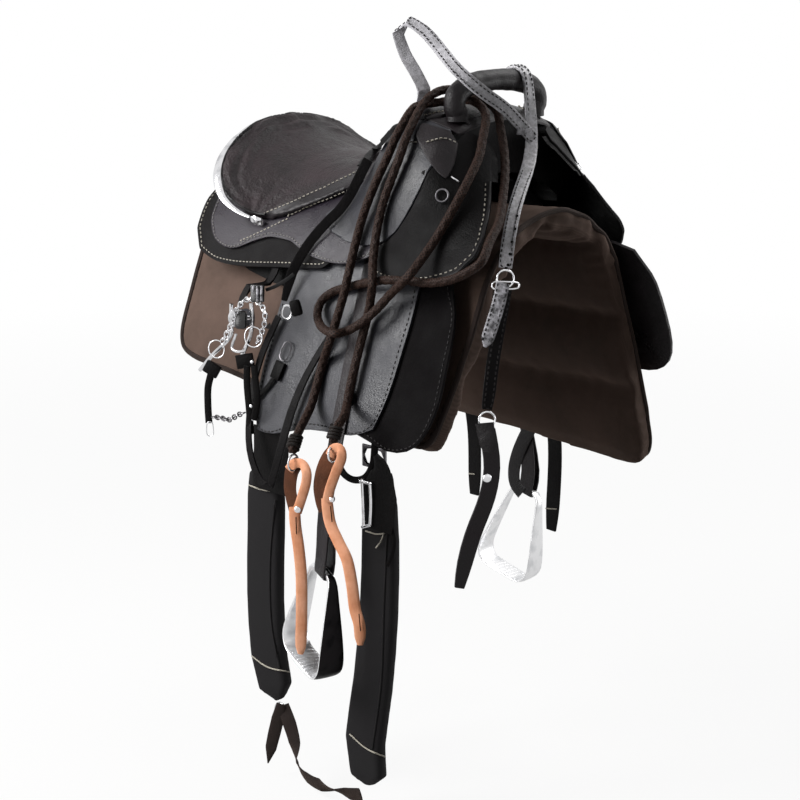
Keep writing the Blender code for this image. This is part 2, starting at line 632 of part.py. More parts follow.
def build_fork(finishes):
    rear, front, half = HEAD_REAR_X - 0.003, FORK_FRONT_X, COVER_HALF_S
    cover = [(rear, 0.0), (rear, half - 0.004), (rear + 0.004, half), (0.12, half),
             (front - 0.004, half), (front, half - 0.004)]
    cover += [(front, 0.0)] + [(x, -s) for x, s in cover[:0:-1]]
    sheet("fork_cover", cover, cover_low, cover_high, finishes["leather"], step=FORK_STEP)
    edge = half + LOOSE
    seam = [(0.188, 0.058), (0.172, 0.085), (0.152, 0.105), (0.125, 0.12)]
    thigh = [(0.064, edge + 0.001), (0.09, edge), (0.12, edge), (0.15, edge), (0.178, edge),
             (0.186, edge + 0.004), *seam, (0.09, 0.126), (0.04, 0.124), (0.0, 0.114),
             (-0.014, 0.102), (-0.002, 0.092), (0.02, 0.08), (0.048, 0.066), (0.058, edge + 0.006)]
    jockey = [(0.1912, 0.046), (0.1914, 0.038), (0.204, 0.032), (0.218, 0.033), (0.238, 0.048),
              (0.254, 0.064), (0.274, 0.088), (0.286, 0.108), (0.286, 0.122), (0.268, 0.138),
              (0.22, 0.15), (0.165, 0.157), (0.122, 0.152), (0.112, 0.142), (0.114, 0.129)]
    jockey += [(x + SEAM_GAP, s + SEAM_GAP) for x, s in reversed(seam)]
    tab = [(0.138, 0.049), (0.160, 0.048), (0.182, 0.047), (0.196, 0.05), (0.203, 0.058),
           (0.206, 0.067), (0.204, 0.0735), (0.194, 0.0735), (0.178, 0.070), (0.160, 0.065),
           (0.144, 0.059)]
    for word, side in SIDES.items():
        sheet(f"thigh_pad_{word}", on_side(thigh, side), cover_low, cover_high,
              finishes["flap"], step=FORK_STEP)
        reach = JOCKEY_REACH[side]
        laid = [(jockey[0][0] + (x - jockey[0][0]) * (reach if x > jockey[0][0] else 1), s)
                for x, s in jockey]
        sheet(f"front_jockey_{word}", on_side(laid, side), cover_low, cover_high,
              finishes["leather"], step=FORK_STEP)
        sheet(f"fork_tab_{word}", on_side(tab, side), lambda x, s: cover_high(x, s) + TAB_LIFT,
              lambda x, s: cover_high(x, s) + TAB_LIFT + 0.0025, finishes["leather"], step=FORK_STEP)
    build_tab_ring(finishes["steel"])


def build_tab_ring(finish):
    """The ring that hangs from the off tab's tip and lies against the thigh pad."""
    x, s, radius = 0.205, -0.0835, 0.0085
    ring("tab_ring_off", on_cover(x, s, RING_WIRE + 2 * LOOSE), cover_normal(x, s), radius, finish)


def build_handle(finish):
    """The grab handle, an arch of leather-wrapped bar that stands square on the fork cover."""
    feet = [on_cover(HANDLE_X, side * HANDLE_FOOT_S, GAP) for side in (OFF, NEAR)]
    rises = [on_cover(HANDLE_X, side * HANDLE_FOOT_S, 0.012) for side in (OFF, NEAR)]
    half = feet[1].y
    top = HANDLE_TOP_Z
    path = [rises[0], (HANDLE_X, -half - 0.006, top - 0.028), (HANDLE_X, -half * 0.72, top - 0.006),
            (HANDLE_X, 0, top), (HANDLE_X, half * 0.72, top - 0.006),
            (HANDLE_X, half + 0.006, top - 0.028), rises[1]]
    path = [feet[0]] + curve_through(path, 0.014) + [feet[1]]
    sweep("grab_handle", path, (1, 0, 0), round_profile(HANDLE_RADIUS, 12), finish)


def build_stirrup(word, side, finishes):
    """A leather looped over the stirrup bar and through the iron, and the iron."""
    x = STIRRUP_X[side]
    radius = STIRRUP_BAR_RADIUS + 2 * GAP + LEATHER_THICKNESS / 2
    middle = (STIRRUP_LOW + STIRRUP_TOP) / 2
    path = [arch(x, side * (BAR_S + 0.003), BAR_D - radius)]
    for k in range(7):
        turn = math.pi * (1.5 - k / 6)
        path.append(arch(x, side * (BAR_S - SWING_SLACK + radius * math.cos(turn)),
                         BAR_D + radius * math.sin(turn)))
    last_s = LEATHER_LEAVES_S[side]
    iron = Vector((x + IRON_FORWARD[side], side * IRON_Y[side], IRON_TOP_Z[side]))
    hung = [(FLAP_TOP_S + 0.004, 0.0), (7 * FACET, 0.04), (ARC_END, 0.1), (ARC_END + 0.05, 0.25),
            ((ARC_END + last_s) / 2, 0.4), (last_s - 0.01, 0.75), (last_s, 0.8)]
    path += [arch(x + IRON_FORWARD[side] * share, side * s, middle) for s, share in hung]
    level = Vector((math.cos(IRON_TURN[side]), math.sin(IRON_TURN[side]), 0))
    across = level * math.cos(IRON_TILT) - Vector((0, 0, math.sin(IRON_TILT)))
    outwards = Vector((-level.y, level.x, 0)) * side
    upwards = level * math.sin(IRON_TILT) + Vector((0, 0, math.cos(IRON_TILT)))
    spread = IRON_TOP_DEPTH / 2 + LOOSE + LEATHER_THICKNESS / 2
    below = -IRON_TOP_WALL / 2 - LOOSE - LEATHER_THICKNESS / 2
    ply = LEATHER_THICKNESS + LOOSE
    path += [iron + Vector((0, 0, 0.085))]
    loop = [(spread, 0.03), (spread, 0.0), (spread * 0.8, below), (0, below - 0.002),
            (-spread * 0.8, below), (-spread, 0.0), (-spread, 0.03)]
    path += [iron + outwards * out + upwards * up for out, up in loop]
    path += [iron + Vector((0, -side * ply, up)) for up in (0.07, 0.085)]
    plain = len(path) - len(loop) - 3
    widths = [Vector((1, 0, 0))] * plain + [Vector((1, 0, 0)).lerp(across, 0.35)]
    widths += [across] * len(loop) + [Vector((1, 0, 0)).lerp(across, 0.35), Vector((1, 0, 0))]
    sweep(f"stirrup_leather_{word}", path, widths,
          rectangle(STIRRUP_LEATHER_WIDTH / 2, LEATHER_THICKNESS / 2), finishes["leather"])
    bottom = IRON_HEIGHT
    right = [(IRON_TOP_HALF, 0), (IRON_TOP_HALF + 0.008, 0.008), (0.031, 0.03),
             (0.041, 0.07), (IRON_HALF - 0.003, 0.107), (IRON_HALF, 0.126),
             (IRON_HALF - 0.004, 0.139), (IRON_HALF - 0.014, bottom), (0.018, bottom)]
    outline = right + [(-a, b) for a, b in reversed(right)]
    path = [iron + across * a - upwards * b for a, b in outline]
    narrow = IRON_TOP_DEPTH / IRON_DEPTH
    stout = IRON_TOP_WALL / IRON_WALL

    def depth(t):
        fall = outline[round(t * (len(outline) - 1))][1]
        return (table(fall, [(0.0, narrow), (0.008, 0.35), (0.05, 0.62), (0.1, 0.95), (0.12, 1.0)]),
                table(fall, [(0.0, stout), (0.03, 1.0)]))
    half, flat = IRON_DEPTH / 2, IRON_WALL / 2
    section = [(-half, -flat * 0.4), (-half * 0.6, -flat), (half * 0.6, -flat), (half, -flat * 0.4),
               (half, flat * 0.4), (half * 0.6, flat), (-half * 0.6, flat), (-half, flat * 0.4)]
    sweep(f"stirrup_iron_{word}", path, outwards, section, finishes["aluminium"], closed=True,
          scale=depth)


def build_girth(word, x_top, centre_line, widths, last_s, finishes):
    """A padded girth folded double, hung from the off billet by a buckle bar."""
    frame_height = 0.0275
    y = GIRTH_Y
    path = [(x, y, z) for x, z in centre_line]
    smooth = curve_through(path, 0.05)

    def width(t):
        return (table(t, widths), 1 - 0.55 * max(0.0, t - 0.93) / 0.07)
    chamfer = 0.006
    half = GIRTH_THICKNESS / 2
    section = [(-1, -half + chamfer), (-0.85, -half), (0.85, -half), (1, -half + chamfer),
               (1, half - chamfer), (0.85, half), (-0.85, half), (-1, half - chamfer)]
    sweep(f"girth_{word}", smooth, (1, 0, 0), section, finishes["girth"], scale=width)
    bar_z = centre_line[0][1] + LOOSE + BUCKLE_WIRE + frame_height
    reach = 0.021
    frame = [(x_top + a * reach, y, bar_z - b) for a, b in
             ((-1, 0), (1, 0), (1, frame_height), (-1, frame_height))]
    sweep(f"girth_buckle_{word}", frame, (0, 1, 0), round_profile(BUCKLE_WIRE, 6),
          finishes["steel"], closed=True)
    billet = [arch(x_top, -s, BILLET_MIDDLE)
              for s in (PANEL_DROP + 0.002, 0.25, 0.3, last_s - 0.02, last_s)]
    billet += [(x_top, y, bar_z + BUCKLE_WIRE + 2 * GAP)]
    strap(f"billet_{word}", billet, (1, 0, 0), BILLET_WIDTH, finishes["leather"], taper=0.15)


def build_girths(finishes):
    build_girth("front", 0.163, [(0.171, -0.3075), (0.174, -0.40), (0.171, -0.50), (0.159, -0.61),
                                 (0.143, -0.70), (0.149, -0.75), (0.154, -0.764)],
                [(0.0, 0.02), (0.12, 0.031), (0.5, 0.034), (0.85, 0.036), (0.93, 0.03), (1.0, 0.008)],
                0.343, finishes)
    build_girth("rear", -0.0578, [(-0.0578, -0.3535), (-0.0582, -0.39), (-0.060, -0.44), (-0.064, -0.54),
                                 (-0.058, -0.63), (-0.045, -0.674), (-0.0345, -0.6925)],
                [(0.0, 0.030), (0.1, 0.036), (0.85, 0.036), (0.92, 0.028), (1.0, 0.008)],
                0.362, finishes)
    y = GIRTH_Y
    radius, wire, half_web = 0.013, RING_WIRE, 0.001
    x, z = -0.034, -0.7095
    ring("girth_ring_rear", (x, y, z), (0, 1, 0), radius, finishes["steel"])
    low = z - radius
    over = wire + half_web + LOOSE
    outer = y - GIRTH_THICKNESS / 2 - half_web - LOOSE
    connector = [(-0.058, y + 0.012, low - 0.062), (-0.046, y + 0.010, low - 0.03),
                 (x, y + over + 0.002, low - 0.01), (x, y + over, low),
                 (x, y + over * 0.75, low + over * 0.75), (x, y, low + over + LOOSE),
                 (x, y - over * 0.75, low + over * 0.75), (x, y - over, low),
                 (x, y - over - 0.002, low - 0.01), (-0.022, y - 0.010, low - 0.04),
                 (0.006, y - 0.014, low - 0.068), (0.06, outer - 0.004, low - 0.074),
                 (0.108, outer - 0.002, low - 0.066), (0.142, outer, low - 0.044),
                 (0.152, outer, low - 0.026)]
    widths = [(1, 0, 0)] * 10 + [(0.6, 0, 0.5), (0, 0, 1), (-0.3, 0, 1), (-0.7, 0, 1), (-0.7, 0, 1)]
    sweep("girth_connector", connector, widths, rectangle(0.0045, half_web), finishes["webbing"])


def build_near_billets(finish):
    """The near side's girth straps, unbuckled, that hang past the pad's lower edge."""
    edge_s = max(PAD_DROPS[NEAR])
    for word, (x, tip_x, tip_z) in NEAR_BILLETS.items():
        path = [arch(x, s, BILLET_MIDDLE) for s in (PANEL_DROP + 0.002, 0.3, edge_s - 0.03, edge_s)]
        edge = path[-1]
        fall = edge.z - tip_z
        path += [Vector((x + (tip_x - x) * share, edge.y + out, edge.z - fall * share))
                 for share, out in ((0.25, 0.005), (0.6, 0.007), (1.0, 0.007))]
        strap(f"billet_near_{word}", path, (1, 0, 0), BILLET_WIDTH, finish, taper=0.7)


def build_bridle(finishes):
    lift = STRAP_THICKNESS / 2 + GAP
    bar_y, bar_z = 0.043, 0.1915
    round_bar = HANDLE_RADIUS + 0.004 + STRAP_THICKNESS / 2
    over = []
    for degrees in (165, 140, 115, 90, 65, 40, 15):
        turn = math.radians(degrees)
        over.append((HANDLE_X + round_bar * math.cos(turn), bar_y, bar_z + round_bar * math.sin(turn)))
    down = [(0.193, 0.042, 0.165), (0.203, 0.036, 0.122), (0.222, 0.012, 0.088),
            (0.248, -0.035, 0.062), (0.276, -0.082, 0.036), (0.296, -0.115, 0.003),
            (0.3053, -0.1305, -0.0320)]
    path = over + down
    sweep("cheek_strap", path, [(0, 1, 0)] * len(over) + [(0.1, 1, 0), (0.4, 0.9, 0)]
          + [(0.77, 0.6, -0.11)] * (len(down) - 2), rectangle(0.009, STRAP_THICKNESS / 2),
          finishes["leather"])
    band = [(0.2228, 0.0162, 0.1176), (0.2165, -0.033, 0.160), (0.2085, -0.0615, 0.178),
            (0.1985, -0.082, 0.195), (0.177, -0.089, 0.213), (0.14, -0.08, 0.237),
            (0.112, -0.083, 0.262), (0.088, -0.087, 0.274), (0.071, -0.09, 0.256),
            (0.077, -0.084, 0.23), (0.091, -0.074, 0.203), (0.096, -0.064, 0.182)]
    band += [on_cover(0.085, -0.022, lift + 0.0067), on_cover(0.070, -0.018, lift + 0.0087)]
    strap("browband", band, [(0.29, 0.55, 0.78)] * 3 + [(0.53, 0.68, 0.47)] * 3
          + [(0.67, 0.71, 0.14)] * 3,
          0.017, finishes["leather"], step=0.02, taper=1)
    far = [on_cover(0.166, k * FACET, lift + 0.0036) for k in (3.8, 4, 4.5, 5, 5.5, 6, 6.4)]
    strap("near_cheek_strap", far, (1, 0.1, 0.3), 0.017, finishes["leather"], step=0.05)
    long_top = [on_cover(x, -s, lift + 0.007) for x, s in
                ((0.060, 0.066), (0.051, 0.075), (0.041, 0.084), (0.031, 0.092), (0.020, 0.1015),
                 (0.009, 0.111))]
    long_top += [arch(x, -s, d) for x, s, d in
                 ((-0.006, 0.123, 0.081), (-0.018, 0.136, 0.0795), (-0.028, 0.149, 0.0775),
                  (-0.036, 0.162, 0.0745), (-0.042, 0.178, 0.0705), (-0.046, 0.205, 0.0675))]
    strap("long_strap", long_top, (0.75, 0.6, 0.1), 0.014, finishes["leather"], step=0.02)
    hung = [arch(x, -s, d) for x, s, d in
            ((-0.0495, 0.2275, 0.067), (-0.060, 0.262, 0.067), (-0.067, 0.31, 0.067),
             (-0.060, 0.36, 0.068))]
    hung += [(-0.045, -0.268, -0.31), (-0.017, -0.271, -0.352), (0.004, -0.271, -0.352),
             (0.018, -0.268, -0.31)]
    hung += [arch(x, -s, 0.067) for x, s in ((0.022, 0.355), (0.034, 0.3), (0.056, 0.249),
                                             (0.07, 0.222))]
    strap("hanging_loop_strap", hung, [(1, 0, 0)] * 3 + [(0.9, 0, 0.3)] + [(0.8, 0.2, -0.4)] * 2
          + [(1, 0, 0.2)] * 2, 0.012, finishes["leather"], step=0.03, thickness=0.003)


def build_cheek_drop(finishes):
    """What hangs below the cheek strap: its buckle, the lower strap and the dark slobber strap."""
    face = (0.83, -0.55, 0.1)
    ring("cheek_buckle", (0.3065, -0.1315, -0.0455), face, 0.0115, finishes["steel"])
    lower = [(0.3076, -0.1322, -0.0592), (0.306, -0.140, -0.10), (0.303, -0.149, -0.15),
             (0.302, -0.155, -0.195), (0.3012, -0.1580, -0.2138)]
    strap("cheek_drop_strap", lower, (0.55, 0.83, 0), 0.017, finishes["leather"], taper=0.8)
    ring("slobber_ring_dark", (0.302, -0.1585, -0.227), face, 0.011, finishes["steel"])
    dark = [(0.3031, -0.1592, -0.2401), (0.307, -0.152, -0.28), (0.304, -0.157, -0.33),
            (0.293, -0.174, -0.38), (0.288, -0.184, -0.42), (0.285, -0.190, -0.452)]
    strap("slobber_strap_dark", dark, (0.55, 0.83, 0), 0.022, finishes["leather"], thickness=0.005)


def build_bit(finishes):
    """A straight bar bit between two shanks, with its curb chain, on a leather hanger."""
    y = BIT_Y
    hanger = [arch(-0.0865, -s, SKIRT_LOW - GAP - 0.0015) for s in (0.150, 0.168)]
    hanger += [arch(-0.089, -0.185, 0.066), (-0.098, y + 0.014, -0.092), (-0.1035, y + 0.006, -0.110),
               (-0.1055, y + 0.002, -0.1217)]
    strap("bit_hanger", hanger, (1, 0, 0), 0.014, finishes["leather"], thickness=0.003, taper=0.35)
    bar = sweep("bar", [(-0.112, y, -0.138), (-0.1, y, -0.136), (-0.088, y, -0.134)], (0, 0, 1),
                round_profile(0.0135, 12), finishes["steel"])
    shank_radius, chain_radius = 0.0032, 0.0028
    rod = sweep("rod", [(-0.121, y, -0.139), (-0.1, y, -0.136), (-0.072, y, -0.1315)], (0, 0, 1),
                round_profile(shank_radius, 6), finishes["steel"])
    shanks = [sweep("shank", curve_through([(x, y, z) for x, z in line], 0.03), (0, 1, 0),
                    round_profile(shank_radius, 6), finishes["steel"]) for line in
              ([(-0.119, -0.118), (-0.1205, -0.14), (-0.118, -0.163), (-0.1588, -0.1934),
                (-0.1943, -0.2251)],
               [(-0.076, -0.112), (-0.0735, -0.133), (-0.076, -0.158), (-0.0965, -0.185),
                (-0.104, -0.2015)])]
    merge("bit", [bar, rod, *shanks], finishes["steel"])
    touching = -0.93 * (shank_radius + chain_radius)
    chain = curve_through([(x, y + out, z) for x, out, z in
                           ((-0.075, touching, -0.150), (-0.067, -0.010, -0.128), (-0.080, -0.018, -0.108),
                            (-0.105, -0.018, -0.106), (-0.124, -0.018, -0.128),
                            (-0.140, -0.012, -0.160), (-0.151, touching, -0.187))], 0.02)
    sweep("curb_chain", chain, (0, 1, 0), round_profile(chain_radius, 6), finishes["steel"])


def build_slobber_straps(finishes):
    """The two tan straps that join the rein's ends to the bit, here hanging free."""
    for word, y, line in (
            ("rear", -0.3100, [(0.0955, -0.308), (0.0985, -0.346), (0.0955, -0.396), (0.0975, -0.456),
                               (0.0990, -0.506), (0.0985, -0.562)]),
            ("front", -0.3060, [(0.169, -0.283), (0.152, -0.326), (0.156, -0.366),
                                (0.173, -0.411), (0.192, -0.456), (0.204, -0.492), (0.208, -0.526)])):
        path = [(x, y, z) for x, z in line]
        strap(f"slobber_strap_{word}", path, (0.8, 0.6, 0) if word == "rear" else (1, 0, 0), 0.021,
              finishes["tan"], taper=0.75)
        x, z = line[0]
        ring(f"rein_ring_{word}", (x, y, z + 0.0135), (1, 0.2, 0), 0.011, finishes["steel"])


def build_rein(finish):
    """One rope rein: up from one tan strap, over the fork, down round a loop, and back to the other."""
    rope("rein_rope", REIN_PATH, ROPE_RADIUS, finish)


def main():
    clear_scene()
    finishes = build_materials()
    build_pad(finishes["pad"])
    build_tree(finishes)
    build_flaps(finishes)
    build_skirts(finishes)
    build_seat(finishes)
    build_fork(finishes)
    build_handle(finishes["leather"])
    for word, side in SIDES.items():
        build_stirrup(word, side, finishes)
    build_girths(finishes)
    build_near_billets(finishes["leather"])
    build_bridle(finishes)
    build_cheek_drop(finishes)
    build_bit(finishes)
    build_slobber_straps(finishes)
    build_rein(finishes["rope"])


main()
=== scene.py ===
"""Australian stock saddle with its bridle, girths and rope rein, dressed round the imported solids."""

import json  # noqa: E402
import logging  # noqa: E402
import math  # noqa: E402
from dataclasses import dataclass  # noqa: E402
from enum import Enum  # noqa: E402
from functools import lru_cache  # noqa: E402
from typing import Callable, Iterable, Optional, Sequence  # noqa: E402

import bmesh  # noqa: E402
import bpy  # noqa: E402
import numpy as np  # noqa: E402
from mathutils import Matrix, Vector, noise  # noqa: E402
from mathutils.bvhtree import BVHTree  # noqa: E402
from mathutils.kdtree import KDTree  # noqa: E402


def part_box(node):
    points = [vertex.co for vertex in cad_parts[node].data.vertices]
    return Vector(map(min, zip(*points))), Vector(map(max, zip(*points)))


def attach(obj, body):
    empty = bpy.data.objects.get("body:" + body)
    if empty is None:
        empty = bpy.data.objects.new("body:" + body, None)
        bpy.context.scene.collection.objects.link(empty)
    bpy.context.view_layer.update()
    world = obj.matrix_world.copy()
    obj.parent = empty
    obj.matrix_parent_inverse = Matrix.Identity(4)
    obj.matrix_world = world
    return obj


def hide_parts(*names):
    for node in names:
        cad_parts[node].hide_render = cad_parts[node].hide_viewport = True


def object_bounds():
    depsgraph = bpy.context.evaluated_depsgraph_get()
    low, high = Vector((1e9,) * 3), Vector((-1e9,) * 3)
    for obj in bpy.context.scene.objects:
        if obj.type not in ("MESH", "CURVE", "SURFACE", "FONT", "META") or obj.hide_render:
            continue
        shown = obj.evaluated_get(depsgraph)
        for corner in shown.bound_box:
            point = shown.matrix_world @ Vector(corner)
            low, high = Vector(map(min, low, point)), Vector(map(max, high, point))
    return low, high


logging.basicConfig(level=logging.INFO, format="%(message)s")
log = logging.getLogger("saddle")

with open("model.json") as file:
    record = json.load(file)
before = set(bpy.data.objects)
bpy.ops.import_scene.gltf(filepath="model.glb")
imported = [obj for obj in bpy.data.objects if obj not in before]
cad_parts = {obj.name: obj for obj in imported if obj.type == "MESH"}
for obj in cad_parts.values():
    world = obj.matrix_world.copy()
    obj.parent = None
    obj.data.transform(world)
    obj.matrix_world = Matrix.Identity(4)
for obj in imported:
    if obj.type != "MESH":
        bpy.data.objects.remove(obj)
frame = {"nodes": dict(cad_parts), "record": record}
CAD_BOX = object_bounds()
BODY_OF = {node: body for body, nodes in frame["record"]["behaviour"]["bodies"].items() for node in nodes}

# The back that every layer of the saddle lies on: a round arch, then straight sides
BACK_RADIUS = 0.123
SIDE_SLOPE = math.radians(70)

CAMERA_AZIMUTH = math.radians(45)
CAMERA_ELEVATION = math.radians(13)
CAMERA_DISTANCE = 2.6
CAMERA_TARGET = Vector((0.008, -0.023, -0.271))
CAMERA_LENS_MM = 80
SENSOR_MM = 36
PICTURE = 800  # pixels of the photo's width and height
AWAY = Vector((math.sin(CAMERA_AZIMUTH) * math.cos(CAMERA_ELEVATION),
    -math.cos(CAMERA_AZIMUTH) * math.cos(CAMERA_ELEVATION), math.sin(CAMERA_ELEVATION)))
RIGHT = Vector((math.cos(CAMERA_AZIMUTH), math.sin(CAMERA_AZIMUTH), 0))

# Which way the straps and chain links that hang before the saddle face
STRAP_FACE = Vector((0.5, -0.85, 0))
LINK_FACE = Vector((0.4, -0.9, 0))
LEVEL_FACE = Vector((0, -1, 0))

Piece = bpy.types.Object
Material = bpy.types.Material
NodeTree = bpy.types.NodeTree
Socket = bpy.types.NodeSocket
Pixels = Sequence[tuple[float, float]]
Hit = tuple[Vector, Vector]  # a place on a surface and the surface's normal
Run = list[Hit]
Shape = tuple[np.ndarray, list[list[int]]]  # points and faces


class Slot(Enum):
    """The record's material slots."""

    PAD = "brown_pad_cloth"
    SEAT = "dark_brown_seat_leather"
    BLACK = "black_leather"
    SMOOTH = "blue_grey_smooth_leather"
    DULL = "dull_black_leather"
    STEEL = "bright_steel"
    ALUMINIUM = "satin_aluminium"
    GIRTH = "black_padded_girth"
    WEBBING = "dark_brown_webbing"
    ROPE = "dark_brown_rope"
    TAN = "tan_leather"


class Side(Enum):
    """The two sides of the saddle, with the sign of Y on each."""

    OFF = -1
    NEAR = 1

    @property
    def word(self) -> str:
        """The side's name as the nodes have it."""
        return self.name.lower()


# Materials

def srgb(code: str) -> tuple[float, float, float, float]:
    """Turns an sRGB colour as "#rrggbb" to linear red, green, blue and full alpha."""
    parts = [int(code[i:i + 2], 16) / 255 for i in (1, 3, 5)]
    red, green, blue = (p / 12.92 if p <= 0.04045 else ((p + 0.055) / 1.055) ** 2.4 for p in parts)
    return red, green, blue, 1.0


def add_node(tree: NodeTree, kind: str, values: Optional[dict] = None,
             links: Optional[dict] = None, **settings: object) -> bpy.types.Node:
    """Adds one node with its settings, socket values and incoming links.

    Args:
        tree: the node tree that the node goes into.
        kind: the node's type, without the ShaderNode prefix.
        values: default values by input name or index.
        links: output sockets by input name or index.
        settings: the node's own attributes.

    Returns:
        The new node.
    """
    node = tree.nodes.new("ShaderNode" + kind)
    for name, value in settings.items():
        setattr(node, name, value)
    for name, value in (values or {}).items():
        node.inputs[name].default_value = value
    for name, socket in (links or {}).items():
        tree.links.new(socket, node.inputs[name])
    return node


def maths(tree: NodeTree, operation: str, *inputs: object) -> Socket:
    """Adds a Math node; each input is a number or another node's output."""
    values = {i: v for i, v in enumerate(inputs) if isinstance(v, float)}
    links = {i: v for i, v in enumerate(inputs) if not isinstance(v, float)}
    return add_node(tree, "Math", values, links, operation=operation).outputs[0]


def start_material(name: str, **sockets: object) -> tuple[Material, NodeTree]:
    """Starts a material with its shader's fixed values.

    Args:
        name: the material's name.
        sockets: shader values, with underscores for spaces in the socket names.

    Returns:
        The material and its node tree.
    """
    made = bpy.data.materials.new(name)
    made.use_nodes = True
    inputs = made.node_tree.nodes["Principled BSDF"].inputs
    for socket, value in sockets.items():
        inputs[socket.replace("_", " ")].default_value = value
    return made, made.node_tree


def two_tone(tree: NodeTree, level: Socket, low: tuple[float, str], high: tuple[float, str]) -> Socket:
    """Turns a level into a colour between two, each with the level where it stands."""
    ramp = add_node(tree, "ValToRGB", links={"Fac": level})
    for element, (position, code) in zip(ramp.color_ramp.elements, (low, high)):
        element.position, element.color = position, srgb(code)
    return ramp.outputs["Color"]


def spread(tree: NodeTree, level: Socket, low: float, high: float, **limits: float) -> Socket:
    """Turns a level into a roughness between two; the limits say from which levels."""
    values = {"To Min": low, "To Max": high,
              **{name.replace("_", " "): value for name, value in limits.items()}}
    return add_node(tree, "MapRange", values, {"Value": level}).outputs["Result"]


def finish_material(made: Material, colour: Socket, rough: Socket, height: Socket, strength: float,
        depth: float) -> Material:
    """Links colour, roughness and relief to a material's shader.

    Args:
        made: the material.
        colour: its colour.
        rough: its roughness.
        height: its relief.
        strength: how strongly the relief turns the light.
        depth: the relief's depth.

    Returns:
        The material.
    """
    tree, inputs = made.node_tree, made.node_tree.nodes["Principled BSDF"].inputs
    bump = add_node(tree, "Bump", {"Strength": strength, "Distance": depth}, {"Height": height})
    for socket, name in ((colour, "Base Color"), (rough, "Roughness"), (bump.outputs["Normal"], "Normal")):
        tree.links.new(socket, inputs[name])
    return made


@dataclass(frozen=True)
class Leather:
    """Chrome-tanned cowhide: a pebbled grain under a dressing, duller in the creases."""

    name: str
    face: str
    crease: str
    worn: str
    roughness: float = 0.42
    grain: float = 0.0026  # real grain is about 1 mm; drawn coarser so that it shows
    depth: float = 0.0008
    coat: float = 0.0
    gloss: float = 0.2
    patch: float = 0.06

    def material(self) -> Material:
        """Builds the leather's node material.

        Returns:
            The material.
        """
        made, tree = start_material(self.name, Coat_Weight=self.coat, Coat_Roughness=0.25, IOR=1.45,
            Specular_IOR_Level=self.gloss)
        place = add_node(tree, "TexCoord").outputs["Object"]
        pebble = add_node(tree, "TexVoronoi", {"Scale": 1 / self.grain}, {"Vector": place})
        fine = add_node(tree, "TexNoise", {"Scale": 2.5 / self.grain, "Detail": 3.0}, {"Vector": place})
        patch = add_node(tree, "TexNoise", {"Scale": 1 / self.patch, "Detail": 4.0, "Roughness": 0.6},
            {"Vector": place})
        tone = two_tone(tree, patch.outputs["Fac"], (0.35, self.crease), (0.7, self.face))
        rim = add_node(tree, "Attribute", attribute_name="rim")
        rub = maths(tree, "MULTIPLY", rim.outputs["Fac"], fine.outputs["Fac"])
        colour = add_node(tree, "Mix", {7: srgb(self.worn)}, {0: rub, 6: tone}, data_type="RGBA")
        rough = spread(tree, patch.outputs["Fac"], self.roughness - 0.12, self.roughness + 0.18,
            From_Min=0.3, From_Max=0.7)
        grain = maths(tree, "MULTIPLY_ADD", pebble.outputs["Distance"], 0.6, fine.outputs["Fac"])
        swell = add_node(tree, "TexNoise", {"Scale": 55.0, "Detail": 2.0}, {"Vector": place})
        height = maths(tree, "MULTIPLY_ADD", swell.outputs["Fac"], 2.2, grain)
        return finish_material(made, colour.outputs[2], rough, height, 0.6, self.depth)


@dataclass(frozen=True)
class Metal:
    """Polished or satin metal: fine drawn scratches vary its gloss, hollows keep some dirt."""

    name: str
    face: str
    dirt: str
    roughness: float = 0.18
    brush: float = 0.0
    scratch: float = 0.0015

    def material(self) -> Material:
        """Builds the metal's node material.

        Returns:
            The material.
        """
        made, tree = start_material(self.name, Metallic=1.0)
        place = add_node(tree, "TexCoord").outputs["Object"]
        stretch = add_node(tree, "Mapping", {"Scale": (1.0, 1.0 + 6 * self.brush, 1.0)}, {"Vector": place})
        lines = add_node(tree, "TexNoise", {"Scale": 1 / self.scratch, "Detail": 2.0},
            {"Vector": stretch.outputs[0]})
        cloud = add_node(tree, "TexNoise", {"Scale": 55.0, "Detail": 3.0}, {"Vector": place})
        tone = two_tone(tree, cloud.outputs["Fac"], (0.3, self.dirt), (0.52, self.face))
        rough = spread(tree, lines.outputs["Fac"], self.roughness * 0.7, self.roughness * 1.5)
        return finish_material(made, tone, rough, lines.outputs["Fac"], 0.25, 0.0001 + 0.0001 * self.brush)


